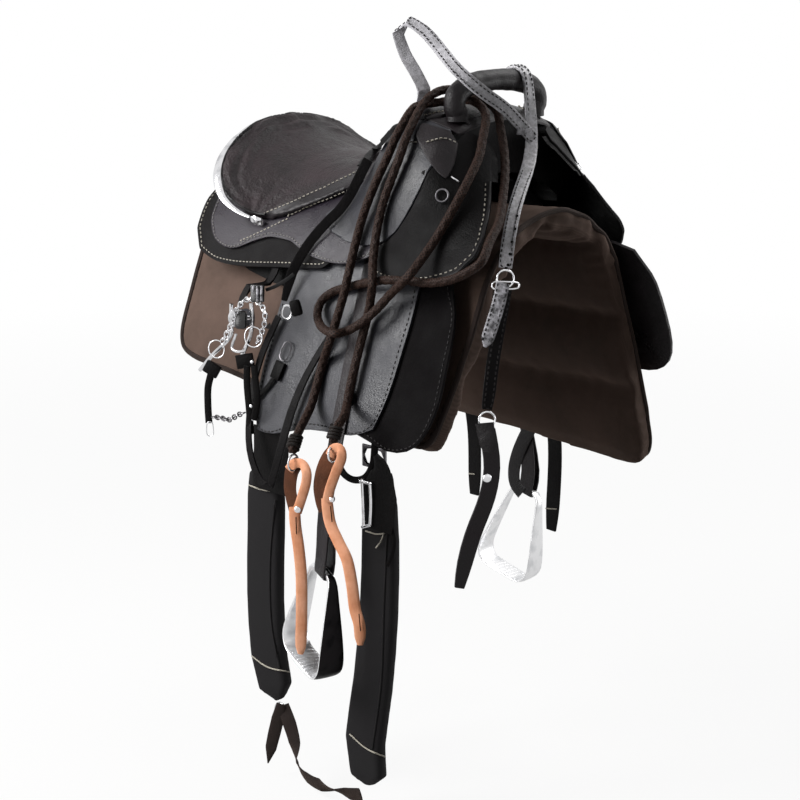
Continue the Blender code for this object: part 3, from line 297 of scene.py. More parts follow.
@dataclass(frozen=True)
class Cloth:
    """Woven cover cloth: crossed threads with a soft nap that lightens at grazing angles."""

    name: str
    face: str
    shade: str
    thread: float = 0.003  # real threads are under 1 mm; drawn coarser so that they show
    depth: float = 0.0003
    sheen: float = 0.35
    sheen_tint: str = "#8a7565"
    roughness: float = 0.85
    slant: float = 0.0

    def material(self) -> Material:
        """Builds the cloth's node material.

        Returns:
            The material.
        """
        made, tree = start_material(self.name, Sheen_Weight=self.sheen, Sheen_Roughness=0.45,
            Sheen_Tint=srgb(self.sheen_tint), Specular_IOR_Level=0.25)
        lay = add_node(tree, "Attribute", attribute_name="lay").outputs["Vector"]
        turned = add_node(tree, "Mapping", {"Rotation": (0.0, 0.0, self.slant)}, {"Vector": lay})
        warp, weft = (add_node(tree, "TexWave", {"Scale": math.tau / 20 / self.thread * 3.14,
            "Distortion": 0.6, "Detail": 1.0, "Detail Scale": 2.0}, {"Vector": turned.outputs[0]},
            bands_direction=axis) for axis in ("X", "Y"))
        weave = maths(tree, "MULTIPLY", warp.outputs["Fac"], weft.outputs["Fac"])
        place = add_node(tree, "TexCoord").outputs["Object"]
        nap = add_node(tree, "TexNoise", {"Scale": 14.0, "Detail": 5.0, "Roughness": 0.65},
            {"Vector": place})
        both = maths(tree, "MULTIPLY_ADD", weave, 0.35, nap.outputs["Fac"])
        tone = two_tone(tree, both, (0.3, self.shade), (0.8, self.face))
        rough = spread(tree, nap.outputs["Fac"], self.roughness - 0.1, self.roughness + 0.1)
        return finish_material(made, tone, rough, weave, 0.5, self.depth)


@dataclass(frozen=True)
class Braid:
    """Braided polyester rope or waxed thread: slanted yarns with a dull silk sheen."""

    name: str
    face: str
    shade: str
    yarn: float
    roughness: float = 0.6

    def material(self) -> Material:
        """Builds the yarn's node material.

        Returns:
            The material.
        """
        made, tree = start_material(self.name, Sheen_Weight=0.12, Sheen_Roughness=0.4,
            Sheen_Tint=srgb("#8a6a58"), Specular_IOR_Level=0.15)
        lay = add_node(tree, "Attribute", attribute_name="lay").outputs["Vector"]
        left, right = (add_node(tree, "Mapping", {"Rotation": (0.0, 0.0, math.radians(turn))},
            {"Vector": lay}) for turn in (38, -38))
        first, second = (add_node(tree, "TexWave", {"Scale": 0.314 / self.yarn, "Distortion": 0.4},
            {"Vector": turned.outputs[0]}) for turned in (left, right))
        yarns = maths(tree, "MAXIMUM", first.outputs["Fac"], second.outputs["Fac"])
        tone = two_tone(tree, yarns, (0.35, self.shade), (0.9, self.face))
        rough = spread(tree, yarns, self.roughness + 0.15, self.roughness - 0.1)
        return finish_material(made, tone, rough, yarns, 0.6, self.yarn * 0.25)


class Finishes:
    """Every finish of the saddle, each built once."""

    def __init__(self) -> None:
        """Builds the materials."""
        # Bridle leather, vat dyed black and waxed: soft broad highlights
        self.black = Leather("waxed_black_bridle_leather", "#181215", "#0d090b", "#272124", roughness=0.34,
            gloss=0.26).material()
        # The same hide buffed smooth: a cool blue-grey shine on the flaps
        self.smooth = Leather("buffed_black_flap_leather", "#26262c", "#111115", "#3a3a40", roughness=0.34,
            grain=0.0024, depth=0.0005, gloss=0.42).material()
        # Oiled harness leather: dull, from the flesh side of the hide
        self.dull = Leather("oiled_black_harness_leather", "#0b090a", "#060505", "#171516", roughness=0.46,
            gloss=0.08).material()
        # Seat hide, dyed very dark brown, with a deeper pebble
        self.seat = Leather("pebbled_dark_brown_seat_hide", "#31272a", "#1c1517", "#3a3132", roughness=0.4,
            grain=0.0042, depth=0.0024, gloss=0.28).material()
        # Patent-finished black straps of the bridle: the pale grey face, in small patches over near-black,
        # and the near-white rubbed edges are painted highlight
        self.glossy = Leather("glazed_grey_black_strap_leather", "#dcdae1", "#2a282d", "#f2f0f5",
            roughness=0.24, grain=0.0022, depth=0.0006, coat=0.5, gloss=0.6, patch=0.007).material()
        # Vegetable-tanned strap leather, undyed: warm tan, darker at its cut edge
        self.tan = Leather("tan_vegetable_tanned_leather", "#ffbd98", "#e49a72", "#a8603a", roughness=0.5,
            grain=0.003, depth=0.0003, patch=0.03).material()
        # Cut edges, sanded, dyed and waxed
        self.edge = Leather("burnished_black_leather_edge", "#1d1b1c", "#100f10", "#3a3736", roughness=0.34,
            grain=0.0012, depth=0.0001).material()
        # Nickel-plated steel, buffed
        self.steel = Metal("buffed_nickel_plated_steel", "#ededef", "#bdbdc0", roughness=0.14).material()
        # Cast aluminium, tumbled to a satin face
        self.aluminium = Metal("tumbled_cast_aluminium", "#f6f6f7", "#dedfe1", roughness=0.3,
            brush=1.0).material()
        # Brushed polyester-cotton cover over foam, chocolate brown
        self.pad = Cloth("brushed_chocolate_pad_cloth", "#66534a", "#43352d",
            sheen_tint="#a08a7c").material()
        # Woven tape sewn over the pad's raw edge
        self.binding = Cloth("dark_brown_binding_tape", "#2a1f1b", "#1a1311", thread=0.002,
            slant=0.8).material()
        # Neoprene-backed nylon, black with a fine dull weave
        self.girth = Cloth("black_padded_girth_cloth", "#161416", "#0c0b0c", sheen=0.2,
            sheen_tint="#4a4648", thread=0.0025).material()
        # Polyester webbing, herringbone woven
        self.webbing = Cloth("dark_brown_woven_webbing", "#2d2320", "#191312", thread=0.002,
            slant=0.6).material()
        # Braided polyester, dark brown
        self.rope = Braid("dark_brown_braided_polyester", "#34231c", "#0b0605", yarn=0.0034).material()
        # Waxed linen thread, off-white
        self.thread = Braid("off_white_waxed_thread", "#cfc9bc", "#8f897c", yarn=0.0006,
            roughness=0.5).material()
        # Finer grey thread on the jockeys
        self.grey_thread = Braid("pale_grey_waxed_thread", "#8d8a88", "#5c5a58", yarn=0.0006,
            roughness=0.5).material()
        # Tarred twine bound round the rope's ends
        self.whipping = Braid("tarred_black_twine", "#1c1614", "#0b0908", yarn=0.0012,
            roughness=0.55).material()
        # Skirting leather of the jockeys, waxed: purple-black with a pale blue shine
        self.skirting = Leather("waxed_skirting_leather", "#1f191d", "#110d10", "#36313a", roughness=0.3,
            depth=0.0005, gloss=0.32, patch=0.05).material()
        # The off side's under flap, the same leather as the near one's: painted near-black and matt as
        # painted shade
        self.lining = Leather("matt_black_lining_leather", "#080607", "#040303", "#121011", roughness=0.55,
            gloss=0.04).material()
        # Lacquered leather of the small blocks: one sharp highlight
        self.lacquer = Leather("lacquered_black_leather", "#0d0c0d", "#070607", "#2a282a", roughness=0.2,
            grain=0.002, depth=0.0003, coat=0.6, gloss=0.5).material()
        # Flesh side of the tan straps, oiled dark
        self.flesh = Leather("oiled_tan_flesh_side", "#6e4430", "#3c2418", "#7a4e38", roughness=0.6,
            gloss=0.1).material()
        # Outer side of the off iron, turned from the key lamp: aluminium painted near-black as painted
        # shade and dark reflection
        self.black_side = Metal("black_anodised_aluminium", "#1f1d1e", "#131213", roughness=0.42).material()
        # Blackened steel of the girth buckles, the tab rings and the small chain
        self.dark_steel = Metal("blackened_steel", "#6f6d70", "#3c3a3c", roughness=0.3).material()
        # Waxed thread in dark grey, on the flaps and the bridle straps
        self.dark_thread = Braid("dark_waxed_thread", "#2e2c2d", "#151414", yarn=0.0006,
            roughness=0.5).material()


# Modelling

def only(made: Piece) -> Piece:
    """Leaves one object selected and active, and gives it back."""
    bpy.ops.object.select_all(action="DESELECT")
    made.select_set(True)
    bpy.context.view_layer.objects.active = made
    return made


def apply_modifier(made: Piece, kind: str, **settings: object) -> None:
    """Adds one modifier and applies it.

    Args:
        made: the piece.
        kind: the modifier's type.
        settings: its settings.
    """
    only(made)
    modifier = made.modifiers.new(kind.title(), kind)
    for name, value in settings.items():
        setattr(modifier, name, value)
    bpy.ops.object.modifier_apply(modifier=modifier.name)


def round_off(made: Piece) -> None:
    """Smooths a piece by one level of subdivision."""
    apply_modifier(made, "SUBSURF", levels=1, render_levels=1)


def turn_outwards(made: Piece) -> None:
    """Turns every face of a piece outwards."""
    only(made)
    bpy.ops.object.mode_set(mode="EDIT")
    bpy.ops.mesh.select_all(action="SELECT")
    bpy.ops.mesh.normals_make_consistent(inside=False)
    bpy.ops.object.mode_set(mode="OBJECT")


def copy_node(node: str, name: str, quads: bool = True) -> Piece:
    """Copies a CAD node's mesh into a new piece, with its loose triangles merged.

    Args:
        node: the CAD node.
        name: the new piece's name.
        quads: whether pairs of triangles become quads.

    Returns:
        The new piece.
    """
    made = bpy.data.objects.new(name, frame["nodes"][node].data.copy())
    bpy.context.collection.objects.link(made)
    made.data.materials.clear()
    only(made)
    bpy.ops.mesh.customdata_custom_splitnormals_clear()
    bpy.ops.object.mode_set(mode="EDIT")
    bpy.ops.mesh.select_all(action="SELECT")
    bpy.ops.mesh.remove_doubles(threshold=2e-6)
    if quads:
        bpy.ops.mesh.tris_convert_to_quads(face_threshold=math.radians(25),
            shape_threshold=math.radians(50))
    bpy.ops.object.mode_set(mode="OBJECT")
    return made


def rows_of(points: Iterable[Vector]) -> np.ndarray:
    """Vectors as the rows of an array."""
    return np.array([list(p) for p in points])


def coordinates(made: Piece) -> np.ndarray:
    """The piece's vertices as an array of points."""
    flat = np.empty(len(made.data.vertices) * 3)
    made.data.vertices.foreach_get("co", flat)
    return flat.reshape(-1, 3)


def normals(made: Piece) -> np.ndarray:
    """The piece's vertex normals as an array."""
    flat = np.empty(len(made.data.vertices) * 3, np.float32)
    made.data.vertex_normals.foreach_get("vector", flat)
    return flat.reshape(-1, 3).astype(float)


def put_coordinates(made: Piece, points: np.ndarray) -> None:
    """Moves the piece's vertices to these points."""
    made.data.vertices.foreach_set("co", points.ravel())
    made.data.update()


def write_attribute(made: Piece, name: str, values: np.ndarray) -> None:
    """Writes one number or vector for each vertex, for the materials to read."""
    kind, word = ("FLOAT_VECTOR", "vector") if values.ndim == 2 else ("FLOAT", "value")
    rows = made.data.attributes.new(name, kind, "POINT").data
    rows.foreach_set(word, values.astype(np.float32).ravel())


def unroll(points: np.ndarray) -> np.ndarray:
    """Lays points of the saddle's layers out flat.

    Args:
        points: places in the row frame.

    Returns:
        For each, its place along the back, its length down the side from the spine and its
        height above the back.
    """
    x, y, z = points.T
    side = np.where(y < 0, -1.0, 1.0)
    angle = np.arctan2(np.abs(y), z + BACK_RADIUS)
    on_arc = angle <= SIDE_SLOPE
    arc = SIDE_SLOPE * BACK_RADIUS
    down = np.array([math.cos(SIDE_SLOPE), -math.sin(SIDE_SLOPE)])
    out = np.array([math.sin(SIDE_SLOPE), math.cos(SIDE_SLOPE)])
    flat = np.stack([np.abs(y), z + BACK_RADIUS], 1)
    s = np.where(on_arc, angle * BACK_RADIUS, arc + flat @ down)
    d = np.where(on_arc, np.hypot(y, z + BACK_RADIUS), flat @ out) - BACK_RADIUS
    return np.stack([x, s * side, d], 1)


def mark_rims(made: Piece) -> None:
    """Marks the vertices of sharp edges, for wear along the edges.

    Args:
        made: the piece, before its edges are rounded.
    """
    mesh = bmesh.new()
    mesh.from_mesh(made.data)
    sharp = {v.index for e in mesh.edges if e.is_manifold and e.calc_face_angle(0) > math.radians(35)
        for v in e.verts}
    mesh.free()
    values = np.zeros(len(made.data.vertices))
    values[list(sharp)] = 1
    write_attribute(made, "rim", values)


def dress(made: Piece, body: str, slot: Slot, *materials: Material, smooth: float = 40) -> Piece:
    """Gives a finished piece its materials, shading and body.

    Args:
        made: the piece.
        body: the body that it rides on.
        slot: the record's slot; not used.
        materials: its materials, in the order of its faces' indices.
        smooth: edges sharper than this angle stay sharp.

    Returns:
        The piece.
    """
    if materials:
        made.data.materials.clear()
        for material in materials:
            made.data.materials.append(material)
    only(made)
    bpy.ops.object.shade_smooth_by_angle(angle=math.radians(smooth))
    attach(made, body)
    log.info("%s rides on %s", made.name, body)
    return made


def round_edges(made: Piece, width: float, angle: float, material: int = -1) -> None:
    """Bevels edges sharper than an angle in degrees and smooths the piece's bends."""
    apply_modifier(made, "BEVEL", width=width, segments=2, limit_method="ANGLE",
        angle_limit=math.radians(angle), material=material, use_clamp_overlap=True)
    round_off(made)


def leather_piece(node: str, slot: Slot, face: Material, edge: Material,
        round_edge: float = 0.0008) -> Piece:
    """Makes a cut leather from its CAD node: rounded edges, smooth bends and a dyed edge.

    Args:
        node: the CAD node that it stands for.
        slot: the record's slot.
        face: the material of its faces.
        edge: the material of its rounded edges.
        round_edge: the width of the rounding.

    Returns:
        The piece.
    """
    made = copy_node(node, node + "_leather")
    write_attribute(made, "lay", unroll(coordinates(made)))
    mark_rims(made)
    round_edges(made, round_edge, 35, 1)
    dress(made, BODY_OF[node], slot, face, edge)
    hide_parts(node)
    return made


@dataclass
class Face:
    """One smooth side of a solid: its surface and the loops round it."""

    tree: BVHTree
    loops: list[Run]
    area: float
    normal: Vector


def faces_of(node: str) -> list[Face]:
    """Splits a CAD node's surface at the edges that turn by 40 degrees or more.

    Args:
        node: the CAD node.

    Returns:
        Its smooth sides, the largest first. A loop's points come with the direction inwards.
    """
    mesh = bmesh.new()
    mesh.from_mesh(frame["nodes"][node].data)
    bmesh.ops.remove_doubles(mesh, verts=mesh.verts, dist=2e-6)
    mesh.faces.ensure_lookup_table()
    mark = [-1] * len(mesh.faces)
    found: list[Face] = []
    for seed in mesh.faces:
        if mark[seed.index] >= 0:
            continue
        group, todo = [], [seed]
        mark[seed.index] = len(found)
        while todo:
            face = todo.pop()
            group.append(face)
            for edge in face.edges:
                if len(edge.link_faces) == 2 and edge.calc_face_angle(0) < math.radians(40):
                    for other in edge.link_faces:
                        if mark[other.index] < 0:
                            mark[other.index] = len(found)
                            todo.append(other)
        inside = {f.index for f in group}
        rim = [e for e in dict.fromkeys(e for f in group for e in f.edges)
            if sum(f.index in inside for f in e.link_faces) == 1]
        steps: dict = {}
        inward: dict = {}
        for edge in rim:
            a, b = edge.verts
            steps.setdefault(a, []).append(b)
            steps.setdefault(b, []).append(a)
            face = next(f for f in edge.link_faces if f.index in inside)
            along = (b.co - a.co).normalized()
            to_face = face.calc_center_median() - a.co
            direction = (to_face - along * to_face.dot(along)).normalized()
            for v in (a, b):
                inward[v] = inward.get(v, Vector()) + direction
        loops, used = [], set()
        for start in sorted(steps, key=lambda v: v.index):
            if start in used:
                continue
            loop, here, back = [], start, None
            while here is not None and here not in used:
                used.add(here)
                loop.append((here.co.copy(), inward[here].normalized()))
                nexts = [v for v in steps[here] if v is not back and v not in used]
                back, here = here, (nexts[0] if nexts else None)
            loops.append(loop)
        points = [[v.co.copy() for v in f.verts] for f in group]
        flat = [p for face in points for p in face]
        polygons, n = [], 0
        for face in points:
            polygons.append(list(range(n, n + len(face))))
            n += len(face)
        normal = sum((f.normal * f.calc_area() for f in group), Vector())
        area = sum(f.calc_area() for f in group)
        found.append(Face(BVHTree.FromPolygons(flat, polygons), loops, area, normal.normalized()))
    mesh.free()
    return sorted(found, key=lambda f: -f.area)


def smooth_line(points: Sequence[Vector], step: float, closed: bool = False, ease: int = 0) -> list[Vector]:
    """Evenly spaced points along a smooth curve through the given ones.

    Args:
        points: the points that the curve passes.
        step: the distance between the new points.
        closed: whether the last point joins the first.
        ease: rounds of averaging that soften corners.

    Returns:
        The new points.
    """
    given = [Vector(p) for p in points]
    if closed:
        ends = [given[-1], *given, given[0], given[1]]
    else:
        ends = [2 * given[0] - given[1], *given, 2 * given[-1] - given[-2]]
    dense = []
    for i in range(len(given) if closed else len(given) - 1):
        a, b, c, d = ends[i:i + 4]
        for k in range(12):
            t = k / 12
            dense.append(0.5 * (2 * b + (c - a) * t + (2 * a - 5 * b + 4 * c - d) * t * t
                                + (3 * b - a - 3 * c + d) * t ** 3))
    dense.append(given[0].copy() if closed else given[-1].copy())
    track = rows_of(dense)
    length = np.r_[0, np.cumsum(np.linalg.norm(np.diff(track, axis=0), axis=1))]
    count = max(2, round(length[-1] / step) + 1)
    marks = np.linspace(0, length[-1], count)
    even = np.stack([np.interp(marks, length, track[:, k]) for k in range(3)], 1)
    for _ in range(ease):
        if closed:
            ring = even[:-1]
            ring = (np.roll(ring, 1, 0) + 2 * ring + np.roll(ring, -1, 0)) / 4
            even = np.vstack([ring, ring[:1]])
        else:
            even[1:-1] = (even[:-2] + 2 * even[1:-1] + even[2:]) / 4
    return [Vector(p) for p in even]


def off_back(line: Sequence[Vector]) -> list[Vector]:
    """For points beside the back, the ways that lead straight off it."""
    return [Vector((0, p.y, p.z + BACK_RADIUS)).normalized() for p in line]


def middle_of(node: str) -> Vector:
    """The middle of a CAD node's box."""
    low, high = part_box(node)
    return (low + high) / 2


def rim_line(side: Face, inset: float, keep: Callable[[Vector], bool] = lambda p: True) -> list[Run]:
    """A line that follows the longest edge of a surface at a set distance.

    Args:
        side: the surface.
        inset: the distance from its edge.
        keep: says of a point whether the line runs there.

    Returns:
        Runs of points on the surface, each with the surface's normal.
    """
    longest = max(side.loops, key=lambda loop: sum((a[0] - b[0]).length for a, b in zip(loop, loop[1:])))
    moved = [place + inward * inset for place, inward in longest]
    runs: list[Run] = [[]]
    for point in smooth_line(moved, 0.004, closed=True, ease=2):
        place, normal, _, _ = side.tree.find_nearest(point)
        if place is not None and keep(place):
            runs[-1].append((place, normal))
        elif runs[-1]:
            runs.append([])
    if len(runs) > 1 and runs[0] and runs[-1] and keep(runs[0][0][0]):
        runs[0] = runs.pop() + runs[0]
    return [run for run in runs if len(run) > 2]


def mesh_object(name: str, points: np.ndarray, faces: Sequence[Sequence[int]]) -> Piece:
    """Makes an object of copied or swept mesh data.

    Args:
        name: its name.
        points: its vertices.
        faces: its faces.

    Returns:
        The object.
    """
    mesh = bpy.data.meshes.new(name)
    mesh.from_pydata([tuple(p) for p in points], [], [list(f) for f in faces])
    made = bpy.data.objects.new(name, mesh)
    bpy.context.collection.objects.link(made)
    return made


def read_mesh(made: Piece) -> Shape:
    """The points and faces of a small pattern piece, which is then removed."""
    bpy.ops.object.mode_set(mode="OBJECT")
    points, faces = coordinates(made), [list(p.vertices) for p in made.data.polygons]
    bpy.data.objects.remove(made)
    return points, faces


def copies(name: str, pattern: Shape, places: Iterable[Matrix]) -> Piece:
    """Sets one pattern at many places, as one mesh.

    Args:
        name: the new object's name.
        pattern: the points and faces of the pattern.
        places: where each copy goes.

    Returns:
        The object.
    """
    points, faces = pattern
    all_points, all_faces, ends = [], [], []
    for place in places:
        turn = np.array(place)
        all_faces += [[i + len(all_points) * len(points) for i in face] for face in faces]
        all_points.append(points @ turn[:3, :3].T + turn[:3, 3])
        ends.append(turn[:3, 3])
    made = mesh_object(name, np.vstack(all_points), all_faces)
    write_attribute(made, "lay", np.tile(points, (len(ends), 1)))
    return made


def turn_to(place: Vector, along: Vector, up: Vector) -> Matrix:
    """A matrix that puts X along a line and Z up from a surface, at a place."""
    x = along.normalized()
    y = up.cross(x).normalized()
    z = x.cross(y)
    return Matrix.Translation(place) @ Matrix((x, y, z)).transposed().to_4x4()


class Stitcher:
    """Sews lines of thread: one stitch is modelled, and copied along each line."""

    def __init__(self, length: float = 0.0052, thick: float = 0.00085) -> None:
        """Models the stitch.

        Args:
            length: the part of a stitch that shows.
            thick: the thread's radius.
        """
        bpy.ops.object.select_all(action="DESELECT")
        bpy.ops.mesh.primitive_cylinder_add(vertices=6, radius=thick, depth=length * 0.7,
            rotation=(0, math.pi / 2, 0))
        made = bpy.context.object
        bpy.ops.object.transform_apply(location=True, rotation=True, scale=True)
        for sign in (-1, 1):
            bpy.ops.object.mode_set(mode="OBJECT")
            for face in made.data.polygons:
                face.select = face.normal.x * sign > 0.9
            bpy.ops.object.mode_set(mode="EDIT")
            bpy.ops.mesh.select_mode(type="FACE")
            step = (sign * length * 0.15, 0, -thick * 1.3)
            bpy.ops.mesh.extrude_region_move(TRANSFORM_OT_translate={"value": step})
            bpy.ops.transform.resize(value=(1, 0.5, 0.5))
        self.pattern = read_mesh(made)
        self.length = length

    def sew(self, name: str, runs: Sequence[Run], body: str,
            slot: Slot, thread: Material, gap: float = 0.0022) -> Optional[Piece]:
        """Sews along lines on a surface.

        Args:
            name: the name of the stitching.
            runs: lines of points with their normals.
            body: the body that it rides on.
            slot: the record's slot.
            thread: the thread's material.
            gap: the leather between two stitches.

        Returns:
            The stitching, or None where no run is long enough.
        """
        places = []
        for run in (run for run in runs if len(run) > 2):
            track = np.array([list(p) for p, _ in run])
            ups = np.array([list(n) for _, n in run])
            length = np.r_[0, np.cumsum(np.linalg.norm(np.diff(track, axis=0), axis=1))]
            marks = np.arange(self.length / 2, length[-1], self.length + gap)
            for mark in marks:
                read = [Vector([np.interp(mark + shift, length, track[:, k]) for k in range(3)])
                    for shift in (-0.001, 0.001)]
                up = Vector([np.interp(mark, length, ups[:, k]) for k in range(3)]).normalized()
                along = read[1] - read[0]
                if along.length > 1e-5:
                    places.append(turn_to((read[0] + read[1]) / 2 + up * 0.0002, along, up))
        if not places:
            return None
        return dress(copies(name, self.pattern, places), body, slot, thread)


def tube(name: str, points: Sequence[Vector], radius: float, body: str, slot: Slot, material: Material,
        closed: bool = False, sides: int = 8, flat: float = 1.0, ups: Optional[Sequence[Vector]] = None,
        taper: Sequence[float] = (1.0,)) -> Piece:
    """Sweeps a round or flattened bead along a line.

    Args:
        name: its name.
        points: its middle line.
        radius: its half width.
        body: the body that it rides on.
        slot: the record's slot.
        material: its material.
        closed: whether its ends join.
        sides: the number of sides.
        flat: its height as a share of its width.
        ups: the directions of its height, one for each point.
        taper: shares of its width at even steps along it.

    Returns:
        The bead.
    """
    count = len(points)
    widths = np.interp(np.linspace(0, 1, count), np.linspace(0, 1, len(taper)), taper) * radius
    rows, lay, distance = [], [], 0.0
    up = Vector((0, 0, 1))
    for i, point in enumerate(points):
        before = points[i - 1] if i or closed else point
        after = points[(i + 1) % count] if i < count - 1 or closed else point
        along = (after - before).normalized()
        up = ups[i] if ups is not None else up
        side = along.cross(up)
        side = side.normalized() if side.length > 1e-6 else along.orthogonal().normalized()
        up = side.cross(along).normalized()
        distance += (point - points[i - 1]).length if i else 0
        for k in range(sides):
            angle = math.tau * k / sides
            rows.append(point + side * (widths[i] * math.cos(angle))
                        + up * (radius * flat * math.sin(angle)))
            lay.append((distance, radius * angle, 0))
    faces = []
    for i in range(count if closed else count - 1):
        j = (i + 1) % count
        faces += [[i * sides + k, i * sides + (k + 1) % sides, j * sides + (k + 1) % sides, j * sides + k]
            for k in range(sides)]
    if not closed:
        faces += [list(range(sides))[::-1], [(count - 1) * sides + k for k in range(sides)]]
    made = mesh_object(name, rows_of(rows), faces)
    turn_outwards(made)
    write_attribute(made, "lay", np.array(lay))
    return dress(made, body, slot, material)


def bead(name: str, run: Run, radius: float, body: str, slot: Slot,
         material: Material, lift: float = 0.0, **shape: object) -> None:
    """Sweeps a bead along a run of more than three points, lifted off the surface."""
    if len(run) > 3:
        tube(name, [p + n * lift for p, n in run], radius, body, slot, material,
             ups=[n for _, n in run], **shape)


def stuff(made: Piece, voxel: float, cap: float, held: Callable[[np.ndarray], np.ndarray]) -> None:
    """Stuffs a closed form by cloth simulation, and applies the result.

    Args:
        made: the piece.
        voxel: the size of the cloth's cells.
        cap: how far a point may move.
        held: from the points, how firmly each is sewn down, from 0 to 1.
    """
    apply_modifier(made, "REMESH", mode="VOXEL", voxel_size=voxel, adaptivity=0.0)
    rest = coordinates(made)
    hold = np.clip(held(rest), 0, 1)
    shrink = cap * 0.2  # the form draws in before it swells
    start = rest - normals(made) * shrink
    put_coordinates(made, start)
    group = made.vertex_groups.new(name="sewn")
    for weight in (0.25, 0.5, 0.75, 1.0):
        chosen = np.nonzero((hold > weight - 0.25) & (hold <= weight))[0]
        group.add([int(i) for i in chosen], weight, "REPLACE")
    only(made)
    cloth = made.modifiers.new("Cloth", "CLOTH")
    cloth.settings.quality = 4
    cloth.settings.mass = 0.3
    cloth.settings.tension_stiffness = cloth.settings.compression_stiffness = 20
    cloth.settings.bending_stiffness = 0.6
    cloth.settings.use_pressure = True
    cloth.settings.uniform_pressure_force = 4.0
    cloth.settings.effector_weights.gravity = 0
    cloth.settings.vertex_group_mass = "sewn"
    cloth.settings.pin_stiffness = 1.0
    cloth.point_cache.frame_start, cloth.point_cache.frame_end = 1, 20
    for step in range(1, 21):
        bpy.context.scene.frame_set(step)
    bpy.ops.object.modifier_apply(modifier="Cloth")
    bpy.context.scene.frame_set(1)
    made.vertex_groups.clear()
    moved = coordinates(made) - rest
    far = np.linalg.norm(moved, axis=1)
    put_coordinates(made, rest + moved * np.minimum(1, cap / np.maximum(far, 1e-9))[:, None])
    apply_modifier(made, "SMOOTH", factor=0.5, iterations=4)


def search_tree(made: Piece) -> BVHTree:
    """A search tree of a piece's surface."""
    mesh = made.data
    return BVHTree.FromPolygons([v.co.copy() for v in mesh.vertices],
        [list(p.vertices) for p in mesh.polygons])


def laid_on(made: Piece, line: Sequence[Vector]) -> Run:
    """Moves a line onto a finished piece's surface, with the surface's normals."""
    tree = search_tree(made)
    hits = [tree.find_nearest(p) for p in line]
    return [(place, normal) for place, normal, _, _ in hits if place is not None]


# Places

def lay_on(x: float, s: float, d: float) -> Vector:
    """The place at length s down the side from the spine and height d above the back."""
    side, s = (-1 if s < 0 else 1), abs(s)
    arc = SIDE_SLOPE * BACK_RADIUS
    angle, over = min(s, arc) / BACK_RADIUS, max(0.0, s - arc)
    reach = BACK_RADIUS + d
    return Vector((x, side * (reach * math.sin(angle) + over * math.cos(angle)),
        reach * math.cos(angle) - BACK_RADIUS - over * math.sin(angle)))


def pixel_ray(u: float, v: float) -> Hit:
    """The camera's place and its direction through a point of the 800 x 800 picture."""
    up, focal, middle = RIGHT.cross(-AWAY), CAMERA_LENS_MM / SENSOR_MM * PICTURE, PICTURE / 2
    ray = -AWAY + RIGHT * ((u - middle) / focal) + up * ((middle - v) / focal)
    return CAMERA_TARGET + AWAY * CAMERA_DISTANCE, ray.normalized()


def at_y(u: float, v: float, y: float) -> Vector:
    """The place that shows at a point of the picture and lies at this y."""
    eye, ray = pixel_ray(u, v)
    return eye + ray * ((y - eye.y) / ray.y)


def hung_line(pixels: Pixels, y: float, step: float) -> list[Vector]:
    """A smooth line through points of the picture that hang at this y."""
    return smooth_line([at_y(u, v, y) for u, v in pixels], step)


def pixel_line(pixels: Pixels, step: float = 2.0) -> list[Vector]:
    """A smooth line in the picture, with this many pixels between its points."""
    return smooth_line([Vector((u, v, 0)) for u, v in pixels], step)


def to_pixels(points: np.ndarray) -> np.ndarray:
    """Where places show in the 800 x 800 picture."""
    middle = PICTURE / 2
    eye, ahead = (np.array(v) for v in pixel_ray(middle, middle))
    right = np.array(RIGHT)
    apart = points - eye
    scale = CAMERA_LENS_MM / SENSOR_MM * PICTURE / (apart @ ahead)
    return np.stack([middle + apart @ right * scale, middle - apart @ np.cross(right, ahead) * scale], 1)


@lru_cache(maxsize=None)
def tree_of(node: str) -> BVHTree:
    """The search tree of a CAD node's surface."""
    return search_tree(frame["nodes"][node])


def seen_at(node: str, u: float, v: float) -> Optional[Hit]:
    """The place where a point of the picture falls on a CAD node, or None beside it."""
    eye, ray = pixel_ray(u, v)
    place, normal, _, _ = tree_of(node).ray_cast(eye, ray)
    return None if place is None else (place, normal)


def first_hits(nodes: Sequence[str], line: Sequence[Vector]) -> Run:
    """Where the points of a line in the picture fall first, among several CAD nodes."""
    eye, _ = pixel_ray(0, 0)
    found = []
    for point in line:
        hits = [hit for hit in (seen_at(node, point.x, point.y) for node in nodes) if hit]
        if hits:
            found.append(min(hits, key=lambda hit: (hit[0] - eye).length))
    return found


def trace(node: str, pixels: Pixels, mirror: Optional[str] = None, step: float = 2.0) -> Run:
    """Draws a line of the picture onto a CAD node.

    Args:
        node: the CAD node.
        pixels: the line's corners.
        mirror: the same node of the near side, where the line goes onto that side.
        step: the pixels between two points.

    Returns:
        Points on the surface, each with the surface's normal.
    """
    found = [hit for hit in (seen_at(node, p.x, p.y) for p in pixel_line(pixels, step)) if hit]
    if mirror is None:
        return found
    turned = []
    for place, _ in found:
        near, normal, _, _ = tree_of(mirror).find_nearest(Vector((place.x, -place.y, place.z)))
        turned.append((near, normal))
    return turned


def near_lines(lines: Sequence[Sequence[Vector]], reach: float) -> Callable[[np.ndarray], np.ndarray]:
    """Says how near points are to lines.

    Args:
        lines: the lines.
        reach: the distance at which the answer falls to 0.

    Returns:
        A function from points to shares, 1 on a line.
    """
    dense = [p for line in lines if len(line) > 1 for p in smooth_line(line, 0.002)]
    found = KDTree(len(dense))
    for index, point in enumerate(dense):
        found.insert(point, index)
    found.balance()
    return lambda points: np.array([max(0.0, 1 - found.find(p)[2] / reach) for p in points])


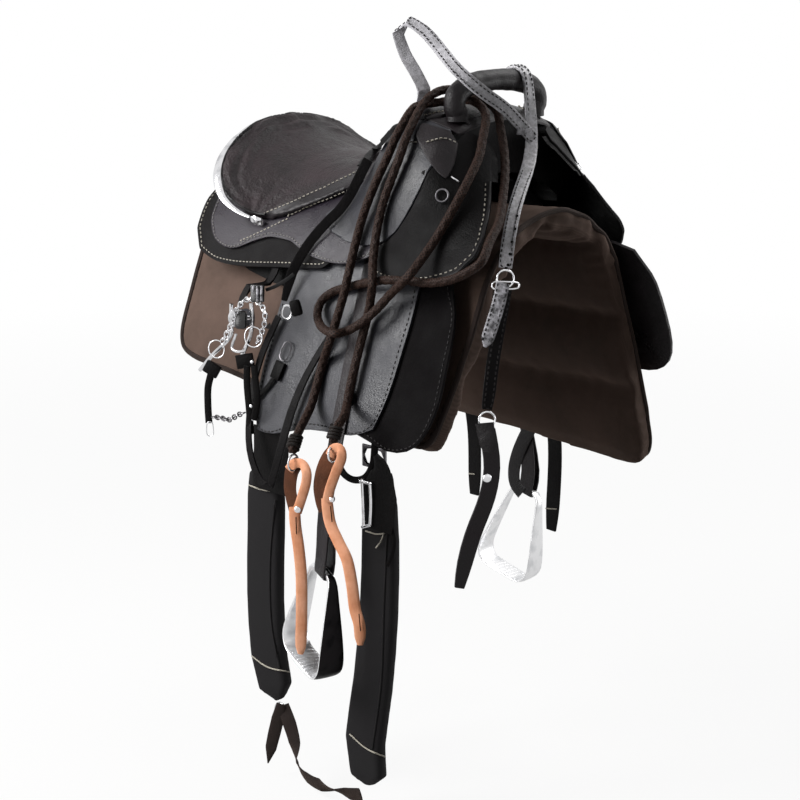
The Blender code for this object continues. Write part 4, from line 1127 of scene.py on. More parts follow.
def crinkle(made: Piece, depth: float, size: tuple[float, float, float], share: np.ndarray,
        coords: Optional[np.ndarray] = None) -> None:
    """Raises and sinks a surface in small folds.

    Args:
        made: the piece.
        depth: the height of the folds.
        size: their width along each axis of the coordinates.
        share: how much of the folds each point gets.
        coords: the coordinates that the folds follow, or None for the points' own.
    """
    points = coordinates(made)
    read = points if coords is None else coords
    height = np.array([noise.noise(Vector(p)) for p in read / np.array(size)])
    put_coordinates(made, points + normals(made) * (depth * height * share)[:, None])


class Pattern:
    """Small hardware, each shape modelled once about the origin, with Z out of the surface."""

    @staticmethod
    def _start(kind: str, **sizes: object) -> Piece:
        """Adds a primitive with nothing else selected."""
        bpy.ops.object.select_all(action="DESELECT")
        getattr(bpy.ops.mesh, "primitive_" + kind + "_add")(**sizes)
        bpy.ops.object.transform_apply(location=True, rotation=True, scale=True)
        return bpy.context.object

    @staticmethod
    def _top(made: Piece, test: Callable[[Vector, Vector], bool]) -> None:
        """Selects the faces that pass a test of centre and normal, and enters edit mode."""
        bpy.ops.object.mode_set(mode="OBJECT")
        for face in made.data.polygons:
            face.select = test(face.center, face.normal)
        for item in (*made.data.edges, *made.data.vertices):
            item.select = False
        for face in made.data.polygons:
            if face.select:
                for index in face.vertices:
                    made.data.vertices[index].select = True
        bpy.ops.object.mode_set(mode="EDIT")
        bpy.ops.mesh.select_mode(type="FACE")

    @classmethod
    def dome(cls, radius: float, height: float, sides: int = 20, petals: bool = False) -> Shape:
        """A domed stud or rivet.

        Args:
            radius: its radius.
            height: its height.
            sides: the number of its sides.
            petals: whether its face is pressed in petals.

        Returns:
            Its points and faces.
        """
        made = cls._start("cylinder", vertices=sides, radius=radius, depth=height * 0.4)
        for share, rise in ((0.14, 0.3), (0.3, 0.22), (0.45, 0.08)):
            cls._top(made, lambda c, n: n.z > 0.99 and c.z > 0)
            bpy.ops.mesh.inset(thickness=radius * share * 0.7)
            bpy.ops.transform.translate(value=(0, 0, height * rise))
        points, faces = read_mesh(made)
        if petals:
            turn = np.arctan2(points[:, 1], points[:, 0])
            out = np.hypot(points[:, 0], points[:, 1]) / radius
            points[:, 2] += height * 0.22 * np.sin(turn * 5) * np.sin(math.pi * out)
        return points, faces

    @classmethod
    def eyelet(cls, radius: float) -> Shape:
        """A punched hole: a raised rim round a sunk floor."""
        made = cls._start("cylinder", vertices=14, radius=radius, depth=0.0008)
        cls._top(made, lambda c, n: n.z > 0.99)
        bpy.ops.mesh.inset(thickness=radius * 0.22)
        bpy.ops.mesh.extrude_region_move(TRANSFORM_OT_translate={"value": (0, 0, -0.0006)})
        return read_mesh(made)

    @classmethod
    def link(cls, radius: float, wire: float, stretch: float) -> Shape:
        """A chain link along X.

        Args:
            radius: the radius of its round ends.
            wire: the wire's radius.
            stretch: half the length of its straight sides.

        Returns:
            Its points and faces.
        """
        made = cls._start("torus", major_segments=12, minor_segments=5, major_radius=radius,
            minor_radius=wire)
        for sign in (-1, 1):
            cls._top(made, lambda c, n, s=sign: c.x * s > 0)
            bpy.ops.transform.translate(value=(sign * stretch, 0, 0))
        return read_mesh(made)

    @classmethod
    def block(cls, length: float, width: float, height: float, bevel: float) -> Shape:
        """A small bar along X with rounded edges.

        Args:
            length: its length.
            width: its width.
            height: its height.
            bevel: the width of its rounded edges.

        Returns:
            Its points and faces.
        """
        made = cls._start("cube", size=1, scale=(length, width, height))
        cls._top(made, lambda c, n: True)
        bpy.ops.mesh.bevel(offset=bevel, segments=2, affect="EDGES")
        return read_mesh(made)


# Studio

@dataclass
class Studio:
    """The camera, the lamps and the pale floor."""

    key_power: float = 58.0
    fill_power: float = 1.2
    top_power: float = 20.0
    world_light: float = 0.025
    world_gloss: float = 0.85
    floor_gap: float = 0.012
    floor_gloss: float = 0.75
    side_power: float = 14.0
    right_power: float = 12.0

    def lamp(self, name: str, place: Vector, size: float, power: float) -> None:
        """Adds one soft lamp that looks at the saddle.

        Args:
            name: its name.
            place: where it stands.
            size: its width.
            power: its power in watts.
        """
        data = bpy.data.lights.new(name, "AREA")
        data.size, data.energy = size, power
        made = bpy.data.objects.new(name, data)
        bpy.context.collection.objects.link(made)
        made.location = place
        made.rotation_euler = (CAMERA_TARGET - place).to_track_quat("-Z", "Y").to_euler()

    def build(self) -> None:
        """Builds the studio."""
        scene = bpy.context.scene
        scene.view_settings.view_transform = "Standard"
        data = bpy.data.cameras.new("camera")
        data.lens, data.sensor_width = CAMERA_LENS_MM, SENSOR_MM
        camera = bpy.data.objects.new("camera", data)
        bpy.context.collection.objects.link(camera)
        camera.location = CAMERA_TARGET + AWAY * CAMERA_DISTANCE
        camera.rotation_euler = AWAY.to_track_quat("Z", "Y").to_euler()
        scene.camera = camera
        up = Vector((0, 0, 1))
        lamps = (("key", AWAY * 0.45 - RIGHT * 1.9 + up * 1.15, 1.2, self.key_power),
            ("fill", AWAY * 2.0 + RIGHT * 1.6 + up * 0.5, 1.6, self.fill_power),
            ("right", RIGHT * 2.3 - AWAY * 0.5 + up * 0.3, 0.9, self.right_power),
            ("side", Vector((-0.5, -2.2, 0.15)), 1.0, self.side_power),
            ("top", RIGHT * 1.2 - AWAY * 0.7 + up * 2.0, 1.4, self.top_power))
        for name, offset, size, power in lamps:
            self.lamp(name, CAMERA_TARGET + offset, size, power)
        self.build_world()
        self.build_floor()

    def build_world(self) -> None:
        """Builds the white surround: full white to the eye and in reflections, dimmer as light."""
        world = bpy.data.worlds.new("studio")
        bpy.context.scene.world = world
        world.use_nodes = True
        tree = world.node_tree
        back = tree.nodes["Background"]
        back.inputs["Color"].default_value = srgb("#ffffff")
        path = add_node(tree, "LightPath").outputs
        seen = maths(tree, "MAXIMUM", path["Is Camera Ray"], path["Is Transmission Ray"])
        gloss = maths(tree, "MULTIPLY", path["Is Glossy Ray"], self.world_gloss)
        level = maths(tree, "MAXIMUM", maths(tree, "MAXIMUM", seen, gloss), self.world_light)
        tree.links.new(level, back.inputs["Strength"])

    def build_floor(self) -> None:
        """Builds the floor just under the lowest point, white to the eye but for the shadow."""
        made, tree = start_material("matt_white_studio_floor", Roughness=0.9)
        shader = tree.nodes["Principled BSDF"]
        path = add_node(tree, "LightPath").outputs
        glow = add_node(tree, "Emission", {"Color": srgb("#ffffff"), "Strength": 1.0})
        place = add_node(tree, "TexCoord").outputs["Object"]
        tone = add_node(tree, "Mix", {6: srgb("#4a4a4a"), 7: srgb("#f2f2f0")}, {0: path["Is Camera Ray"]},
            data_type="RGBA")
        tree.links.new(tone.outputs[2], shader.inputs["Base Color"])
        far = add_node(tree, "VectorMath", links={0: place}, operation="LENGTH")
        even = add_node(tree, "MapRange", {"From Min": 0.6, "From Max": 4.0, "To Min": 0.9, "To Max": 1.0},
            {"Value": far.outputs["Value"]})
        gloss = maths(tree, "MULTIPLY", path["Is Glossy Ray"], self.floor_gloss)
        seen = maths(tree, "MAXIMUM", path["Is Camera Ray"], gloss)
        share = maths(tree, "MULTIPLY", seen, even.outputs["Result"])
        mixed = add_node(tree, "MixShader", links={0: share, 1: shader.outputs[0], 2: glow.outputs[0]})
        tree.links.new(mixed.outputs[0], tree.nodes["Material Output"].inputs["Surface"])
        bpy.ops.object.select_all(action="DESELECT")
        bpy.ops.mesh.primitive_plane_add(size=900, location=(0, 0, CAD_BOX[0].z - self.floor_gap))
        floor = bpy.context.object
        floor.name = "floor"
        floor.data.materials.append(made)


# Sub-assemblies

@dataclass
class Assembly:
    """What every sub-assembly holds: the finishes and the stitcher."""

    finishes: Finishes
    stitcher: Stitcher

    def keep(self, node: str, material: Material) -> None:
        """Leaves a CAD node showing, with a real finish."""
        made = frame["nodes"][node]
        for slot in made.material_slots:
            slot.material = material
        log.info("%s keeps its solid", node)

    def metal_piece(self, node: str, slot: Slot, material: Material, round_edge: float = 0.0004) -> Piece:
        """Makes a metal piece from its CAD node, with its edges rounded and its bends smooth.

        Args:
            node: the CAD node.
            slot: the record's slot.
            material: its finish.
            round_edge: the width of the rounding.

        Returns:
            The piece.
        """
        made = copy_node(node, node + "_metal")
        round_edges(made, round_edge, 50)
        dress(made, BODY_OF[node], slot, material)
        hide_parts(node)
        return made

    def padded_piece(self, node: str, slot: Slot, material: Material, voxel: float, cap: float,
            lines: Sequence[Sequence[Vector]], reach: float, fill: float) -> Piece:
        """Makes a stuffed piece from its CAD node by simulation.

        Args:
            node: the CAD node.
            slot: the record's slot.
            material: its cover.
            voxel: the size of the cloth's cells.
            cap: how far a point may move.
            lines: where it is sewn down.
            reach: how wide a sewn line holds the cover.
            fill: how full it is, from 0 to 1; not used.

        Returns:
            The piece.
        """
        made = copy_node(node, node + "_padded", quads=False)
        stuff(made, voxel, cap, near_lines(lines, reach))
        write_attribute(made, "lay", unroll(coordinates(made)))
        dress(made, BODY_OF[node], slot, material, smooth=80)
        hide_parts(node)
        return made

    def sew_rim(self, node: str, inset: float, slot: Slot, thread: Material, word: str = "stitching",
            keep: Callable[[Vector], bool] = lambda p: True, face: int = 0, gap: float = 0.0022) -> None:
        """Sews along the edge of one of a node's surfaces, the largest by default."""
        self.stitcher.sew(f"{node}_{word}", rim_line(faces_of(node)[face], inset, keep=keep), BODY_OF[node],
            slot, thread, gap=gap)

    def set_patterns(self, name: str, pattern: Shape, places: Sequence[tuple[Vector, Vector, Vector]],
            body: str, slot: Slot, material: Material, fine: bool = False) -> Piece:
        """Sets hardware as one piece; a place comes with the ways of its X and its face."""
        made = copies(name, pattern, [turn_to(place, along, up) for place, along, up in places])
        if fine:
            round_off(made)
        return dress(made, body, slot, material)

    def chain(self, name: str, pixels: Pixels, y: float, body: str, radius: float, wire: float,
            stretch: float, material: Material) -> Piece:
        """Lays a chain along a line of the picture.

        Args:
            name: its name.
            pixels: its line in the picture.
            y: the depth at which it hangs.
            body: the body that it rides on.
            radius: the radius of a link's round ends.
            wire: the wire's radius.
            stretch: half the length of a link's straight sides.
            material: its finish.

        Returns:
            The chain.
        """
        middles = hung_line(pixels, y, 2 * (radius + stretch - wire))
        places = []
        for index, (start, end) in enumerate(zip(middles, middles[1:])):
            along = end - start
            up = LINK_FACE if index % 2 else along.cross(LINK_FACE)
            places.append(((start + end) / 2, along, up))
        return self.set_patterns(name, Pattern.link(radius, wire, stretch), places, body, Slot.STEEL,
            material)

    def strip(self, name: str, pixels: Pixels, y: float, width: float, body: str, slot: Slot = Slot.DULL,
            material: Optional[Material] = None, flat: float = 0.25, taper: Sequence[float] = (1.0,),
            face: Vector = STRAP_FACE) -> Piece:
        """Hangs a strap with a face and a taper along a line of the picture, at this y."""
        line = hung_line(pixels, y, 0.003)
        return tube(name, line, width / 2, body, slot, material or self.finishes.dull, flat=flat,
            ups=[face.normalized()] * len(line), sides=12, taper=taper)


def facing(normal: Vector) -> Vector:
    """A direction across a surface, level where it can be."""
    level = normal.cross(Vector((0, 0, 1)))
    return level.normalized() if level.length > 1e-3 else Vector((1, 0, 0))


def on_side(side: Side, run: Run) -> Run:
    """The off side's places as they are, or mirrored onto the near side."""
    if side is Side.OFF:
        return list(run)
    return [tuple(Vector((v.x, -v.y, v.z)) for v in hit) for hit in run]


@dataclass
class Layers(Assembly):
    """The saddle pad, the panels, the flaps, the skirts and the jockeys."""

    seams: tuple[float, ...] = (0.055, 0.175, 0.293)
    shift: float = 0.036
    binding: float = 0.0045
    channel: float = 0.016

    def build(self) -> None:
        """Builds the layers from the pad outwards."""
        f = self.finishes
        self.build_pad()
        for side in Side:
            w = side.word
            for word, material in (("panel_", f.dull), ("tree_bar_", f.dull), ("stirrup_bar_", f.steel)):
                self.keep(word + w, material)
            # The off under flap is painted near-black as shade; the near one, the same leather, stays waxed
            # black
            inner = f.lining if side is Side.OFF else f.black
            layers = (("under_flap_", Slot.DULL, inner, f.dark_thread, 0.006, 0.0022,
                    lambda p: p.z < -0.03),
                ("flap_", Slot.SMOOTH, f.smooth, f.dark_thread, 0.006, 0.0022,
                    lambda p: p.z < -0.03 and (p.y < 0 or (p.z > -0.22 and p.x > 0.06))),
                ("rear_skirt_", Slot.BLACK, f.dull, f.thread, 0.0065, 0.0022,
                    lambda p: p.z < 0.045 and p.x < 0.02),
                ("side_jockey_", Slot.BLACK, f.skirting, f.grey_thread, 0.0045, 0.0015,
                    lambda p: p.z < 0.04 and p.x < 0.12))
            for word, slot, face, thread, inset, gap, keep in layers:
                leather_piece(word + w, slot, face, f.edge)
                self.sew_rim(word + w, inset, slot, thread, keep=keep, gap=gap)
        self.keep("tree_head", f.dull)

    def build_pad(self) -> None:
        """Builds the quilted pad, its sewn channels and its bound edge."""
        f = self.finishes
        outer = [[p for p, _ in run] for run in rim_line(faces_of("saddle_pad")[0], 0.001)]
        flat = [unroll(rows_of(line)) for line in outer]
        inner = [[lay_on(x, s, 0.002) for x, s, _ in line] for line in flat]
        low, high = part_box("saddle_pad")
        sewn = [[lay_on(x, self.shift + sign * seam, 0.008) for x in np.arange(low.x, high.x, 0.01)]
            for seam in self.seams for sign in (-1, 1)]
        made = self.padded_piece("saddle_pad", Slot.PAD, f.pad, 0.0055, 0.006, [*outer, *inner, *sewn],
            0.011, 0.7)
        lay = unroll(coordinates(made))
        self.fill_channels(made, lay, 1 - near_lines(inner, 0.03)(coordinates(made)))
        near_seam = np.max([1 - np.minimum(1, np.abs(np.abs(lay[:, 1] - self.shift) - s) / 0.04)
            for s in self.seams], axis=0) * (lay[:, 2] < 0.015)
        front = np.clip((lay[:, 0] - high.x + 0.05) / 0.05, 0, 1) * (np.abs(lay[:, 1]) < 0.16)
        crinkle(made, 0.0035, (0.02, 0.09, 0.05), np.clip(near_seam + front, 0, 1), lay)
        crinkle(made, 0.0025, (0.11, 0.10, 0.2), np.ones(len(lay)), lay)
        gusset = np.clip((lay[:, 0] - high.x + 0.04) / 0.03, 0, 1) * (np.abs(lay[:, 1]) < 0.14)
        crinkle(made, 0.007, (0.08, 0.014, 0.02), gusset, lay)
        for line in outer:
            line = smooth_line([p for p, _ in laid_on(made, line)], 0.004, closed=True, ease=12)
            tube("saddle_pad_binding", line, self.binding, "saddle", Slot.PAD, f.binding, closed=True,
                flat=0.85, ups=off_back(line))

    def fill_channels(self, made: Piece, lay: np.ndarray, free: np.ndarray) -> None:
        """Rounds each sewn channel of the pad's inner face.

        Args:
            made: the pad.
            lay: its points, unrolled.
            free: how far each point may move, less beside the bound edge.
        """
        side, bounds = np.abs(lay[:, 1] - self.shift), (-self.seams[0], *self.seams, 0.45)
        puff = np.zeros(len(lay))
        for low, high in zip(bounds, bounds[1:]):
            share = np.clip((side - low) / (high - low), 0, 1)
            puff = np.maximum(puff, np.sqrt(np.maximum(0, 1 - (2 * share - 1) ** 2)))
        inner = np.clip((0.012 - lay[:, 2]) / 0.008, 0, 1) * free
        move = self.channel * (puff - 0.55) * inner
        put_coordinates(made, coordinates(made) + normals(made) * move[:, None])


@dataclass
class Seat(Assembly):
    """The dished seat, its rolled rim, the cantle's metal band and the studs."""

    band: float = 0.0075
    fold: float = 0.0026
    welt_end: float = 361  # the pixel from the left where the long strap covers the welts
    welts: Sequence[Pixels] = (((262, 214), (290, 202), (325, 186), (364, 167), (400, 148)),
        ((240, 241), (262, 231), (310, 208), (366, 183)))

    def build(self) -> None:
        """Builds the seat."""
        f = self.finishes
        side = faces_of("seat")[0]
        rim = [[p for p, _ in run] for run in rim_line(side, 0.001)]
        made = self.padded_piece("seat", Slot.SEAT, f.seat, 0.0042, 0.005, rim, 0.010, 0.8)
        points = coordinates(made)
        low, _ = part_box("seat")
        back = np.clip((low.x + 0.13 - points[:, 0]) / 0.09, 0, 1)
        to_rim = near_lines(rim, 0.07)(points)
        share = np.where((to_rim > 0.15) & (to_rim < 0.93), to_rim, 0) * back
        around = np.arctan2(points[:, 1], points[:, 0] + 0.06)
        coords = np.stack([around * 0.16, to_rim * 0.07, np.zeros(len(points))], 1)
        crinkle(made, 0.011, (0.04, 0.010, 1.0), share, coords)
        self.pleat(made)
        round_off(made)
        self.build_welts(made)
        for run in rim_line(side, 0.0005, keep=lambda p: p.x < -0.12):
            eased = smooth_line([p for p, _ in laid_on(made, [p for p, _ in run])], 0.004, ease=12)
            tube("seat_rim_piping", eased, 0.0022, "saddle", Slot.SEAT, f.edge,
                ups=[n for _, n in laid_on(made, eased)])
            self.build_band(eased)
        self.metal_piece("cantle_band", Slot.STEEL, f.steel, 0.0006)
        pattern = Pattern.dome(0.0115, 0.007, 30, petals=True)
        for side_word in Side:
            node = "stud_" + side_word.word
            middle = middle_of(node)
            out = max(faces_of(node), key=lambda face: face.area * abs(face.normal.y)).normal
            if out.y * side_word.value < 0:
                out = -out
            made = self.set_patterns(node + "_pressed", pattern, [(middle, facing(out), out)],
                BODY_OF[node], Slot.STEEL, f.steel)
            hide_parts(node)

    def pleat(self, made: Piece) -> None:
        """Folds the seat's cover where it is drawn in beside each stud.

        Args:
            made: the seat.
        """
        points, move = coordinates(made), np.zeros(len(made.data.vertices))
        for side in Side:
            away = points - np.array(middle_of("stud_" + side.word))
            far = np.linalg.norm(away, axis=1)
            turn = np.arctan2(away[:, 2], away[:, 0])
            share = np.clip(1 - far / 0.075, 0, 1) * np.clip((far - 0.008) / 0.01, 0, 1)
            move += self.fold * np.sin(turn * 11) * share
        put_coordinates(made, points + normals(made) * move[:, None])

    def build_band(self, rim: Sequence[Vector]) -> None:
        """Builds the polished band that stands out behind the seat's rim.

        Args:
            rim: the line of the rim, round the back of the seat.
        """
        middle = Vector((-0.02, 0, 0.02))
        line, ups = [], []
        for index in range(6, len(rim) - 6):
            place = rim[index]
            along = (rim[index + 1] - rim[index - 1]).normalized()
            out = place - middle
            out = (out - along * out.dot(along)).normalized()
            out = (out * 0.8 + Vector((0, 0, -0.6))).normalized()
            out = (out - along * out.dot(along)).normalized()
            line.append(place + out * (self.band * 1.05))
            ups.append(out.cross(along))
        tube("cantle_band_flange", line, self.band, "saddle", Slot.STEEL, self.finishes.steel, flat=0.16,
            ups=ups, sides=12, taper=(0.3, 1.0, 1.0, 1.0, 1.0, 1.0, 0.3))

    def build_welts(self, made: Piece) -> None:
        """Sews the two lines that run from the seat's corner to the fork.

        Args:
            made: the finished seat; below the upper line it shows the skirting leather.
        """
        f = self.finishes
        made.data.materials.append(f.skirting)
        centres = np.array([list(p.center) for p in made.data.polygons])
        centres[:, 1] = -np.abs(centres[:, 1])
        place = to_pixels(centres)
        limit = np.interp(place[:, 0], *zip(*self.welts[0]))
        below = (place[:, 1] > limit) & (place[:, 0] > self.welts[0][0][0])
        made.data.polygons.foreach_set("material_index", below.astype(int))
        for word, pixels in zip(("seat", "jockey"), self.welts):
            hits = first_hits(("seat", "side_jockey_off"), [p for p in pixel_line(pixels)
                if p.x < self.welt_end])
            for side in Side:
                turned = on_side(side, hits)
                laid = laid_on(made, [place for place, _ in turned])
                run = [new if (new[0] - old[0]).length < 0.006 else old for new, old in zip(laid, turned)]
                self.stitcher.sew(f"{word}_welt_stitching_{side.word}", [run], "saddle", Slot.BLACK,
                    f.thread, gap=0.0014)


@dataclass
class Fork(Assembly):
    """The fork, its thigh pads, tabs, front jockeys and the grab handle."""

    welt: float = 0.0021
    bar: float = 0.0145

    def build(self) -> None:
        """Builds the fork."""
        f = self.finishes
        leather_piece("fork_cover", Slot.BLACK, f.black, f.edge)
        self.build_handle()
        for side in Side:
            self.build_side(side)
        self.metal_piece("tab_ring_off", Slot.STEEL, f.dark_steel)
        self.build_near_ring()
        self.build_fittings()

    def build_side(self, side: Side) -> None:
        """Builds one side's thigh pad, tab and front jockey.

        Args:
            side: the side.
        """
        f, w = self.finishes, side.word
        pad = leather_piece("thigh_pad_" + w, Slot.SMOOTH, f.smooth, f.edge, 0.003)
        crinkle(pad, 0.0022, (0.05, 0.05, 0.06), np.ones(len(pad.data.vertices)))
        leather_piece("fork_tab_" + w, Slot.BLACK, f.black, f.edge)
        jockey = "front_jockey_" + w
        leather_piece(jockey, Slot.BLACK, f.dull, f.edge)
        shown = (lambda p: p.z < 0.1 and p.z < 0.86 * (p.x - 0.2) + 0.035)
        self.sew_rim(jockey, 0.0075, Slot.BLACK, f.thread, keep=shown, gap=0.003)
        for index, run in enumerate(rim_line(faces_of(jockey)[0], 0.0018, keep=shown)):
            bead(f"{jockey}_welt_{index}", run, self.welt, "saddle", Slot.BLACK, f.edge)
        back = (lambda p: p.z < 0.12 and not shown(p))
        for index, run in enumerate(rim_line(faces_of(jockey)[0], 0.002, keep=back)):
            bead(f"{jockey}_lining_{index}", run, 0.012, "saddle", Slot.BLACK, f.dull, -0.0045, flat=0.14)
        mirror_tab = None if side is Side.OFF else "fork_tab_near"
        mirror_pad = None if side is Side.OFF else "thigh_pad_near"
        upper = on_side(side, trace("fork_cover", ((424, 115), (445, 111), (468, 117)), None, 1.5))
        lower = trace("fork_tab_off", ((426, 142), (444, 138), (462, 145)), mirror_tab, 1.5)
        collar = on_side(side, trace("fork_cover", ((424, 122), (432, 117), (447, 114), (460, 117),
            (469, 124)), None, 1.5))
        bead(f"fork_collar_{w}", collar, 0.0042, "saddle", Slot.BLACK, f.black, flat=0.7,
            taper=(0.3, 1.0, 1.0, 1.0, 0.3))
        run_on = trace("thigh_pad_off", ((404, 141), (416, 142), (426, 141)), mirror_pad, 1.5)
        self.stitcher.sew(f"fork_tab_{w}_stitching", [upper, lower, run_on], "saddle", Slot.BLACK, f.thread,
            gap=0.001)

    def build_near_ring(self) -> None:
        """Builds the near side's tab ring, the off one's mirror image."""
        made = copy_node("tab_ring_off", "tab_ring_near")
        put_coordinates(made, coordinates(made) * np.array([1, -1, 1]))
        turn_outwards(made)
        round_off(made)
        dress(made, "saddle", Slot.STEEL, self.finishes.dark_steel)

    def build_handle(self) -> None:
        """Builds the grab handle as one round arch where the CAD's bar runs in short lengths."""
        low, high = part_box("grab_handle")
        x, top = (low.x + high.x) / 2, high.z - self.bar
        half = high.y - self.bar - 0.006
        curve = ((half, low.z + 0.001), (half, low.z + 0.014), (half + 0.0045, top - 0.036),
            (half + 0.001, top - 0.018), (half * 0.68, top - 0.005), (0.0, top))
        off, near = [Vector((x, -y, z)) for y, z in curve], [Vector((x, y, z)) for y, z in curve[-2::-1]]
        line = smooth_line(off + near, 0.004)
        made = tube("grab_handle_wrap", line, self.bar, "saddle", Slot.BLACK, self.finishes.black, sides=24)
        crinkle(made, 0.001, (0.03, 0.012, 0.03), np.ones(len(made.data.vertices)))
        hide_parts("grab_handle")

    def build_fittings(self) -> None:
        """Builds the wire staple below each tab."""
        staple = seen_at("front_jockey_off", 455, 180)
        for side in Side:
            place, normal = on_side(side, [staple])[0]
            along = Vector((0.85, 0, -0.2)).normalized()
            along = (along - normal * along.dot(normal)).normalized()
            bends = ((-0.0062, -0.001), (-0.006, 0.002), (-0.004, 0.0032),
                (0.004, 0.0032), (0.006, 0.002), (0.0062, -0.001))
            line = [place + along * shift + normal * rise for shift, rise in bends]
            tube(f"tab_staple_upper_{side.word}", smooth_line(line, 0.001), 0.001, "saddle", Slot.STEEL,
                self.finishes.steel, sides=6)


@dataclass
class Stirrups(Assembly):
    """The stirrup leathers and the wide-tread irons."""

    ribs: int = 9

    def build(self) -> None:
        """Builds both stirrups."""
        f = self.finishes
        for side in Side:
            w = side.word
            leather_piece("stirrup_leather_" + w, Slot.BLACK, f.black, f.edge)
            node = "stirrup_iron_" + w
            iron = self.metal_piece(node, Slot.ALUMINIUM, f.aluminium, 0.001)
            # The off iron's faces towards +x, away from the key lamp, are painted near-black as shade; the
            # near iron's stay aluminium
            iron.data.materials.append(f.black_side if side is Side.OFF else f.aluminium)
            middle = middle_of(node)
            for face in iron.data.polygons:
                out = Vector((face.center.x - middle.x, face.center.y - middle.y, 0))
                if face.normal.x > 0.35 and out.x > 0.01 and face.normal.dot(out) > 0:
                    face.material_index = 1
            self.build_tread(node)
        self.strip("near_leather_front_fold", ((530, 428), (523, 441), (517, 456), (514, 470), (515, 483),
            (522, 493)), 0.2675, 0.025, BODY_OF["stirrup_leather_near"], Slot.BLACK, f.black, 0.1,
            face=LEVEL_FACE)

    def build_tread(self, node: str) -> None:
        """Builds the cast ribs on an iron's tread.

        Args:
            node: the iron's CAD node.
        """
        low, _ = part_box(node)
        up = next(face.normal for face in faces_of(node) if face.normal.z > 0.8)
        mesh = frame["nodes"][node].data
        tread = [p for p in mesh.polygons if p.normal.dot(up) > 0.97 and p.center.z < low.z + 0.03]
        points = np.array([list(mesh.vertices[i].co) for p in tread for i in p.vertices])
        middle = points.mean(0)
        _, _, axes = np.linalg.svd(points - middle, full_matrices=False)
        long, wide = axes[0], axes[1]
        reach = np.abs((points - middle) @ long).max()
        half = np.abs((points - middle) @ wide).max()
        pattern = Pattern.block(half * 1.5, 0.0022, 0.0014, 0.0005)
        places = [(Vector(middle + long * reach * 0.82 * (2 * k / (self.ribs - 1) - 1)), Vector(wide), up)
            for k in range(self.ribs)]
        self.set_patterns(node + "_tread_ribs", pattern, places, BODY_OF[node], Slot.ALUMINIUM,
            self.finishes.aluminium)


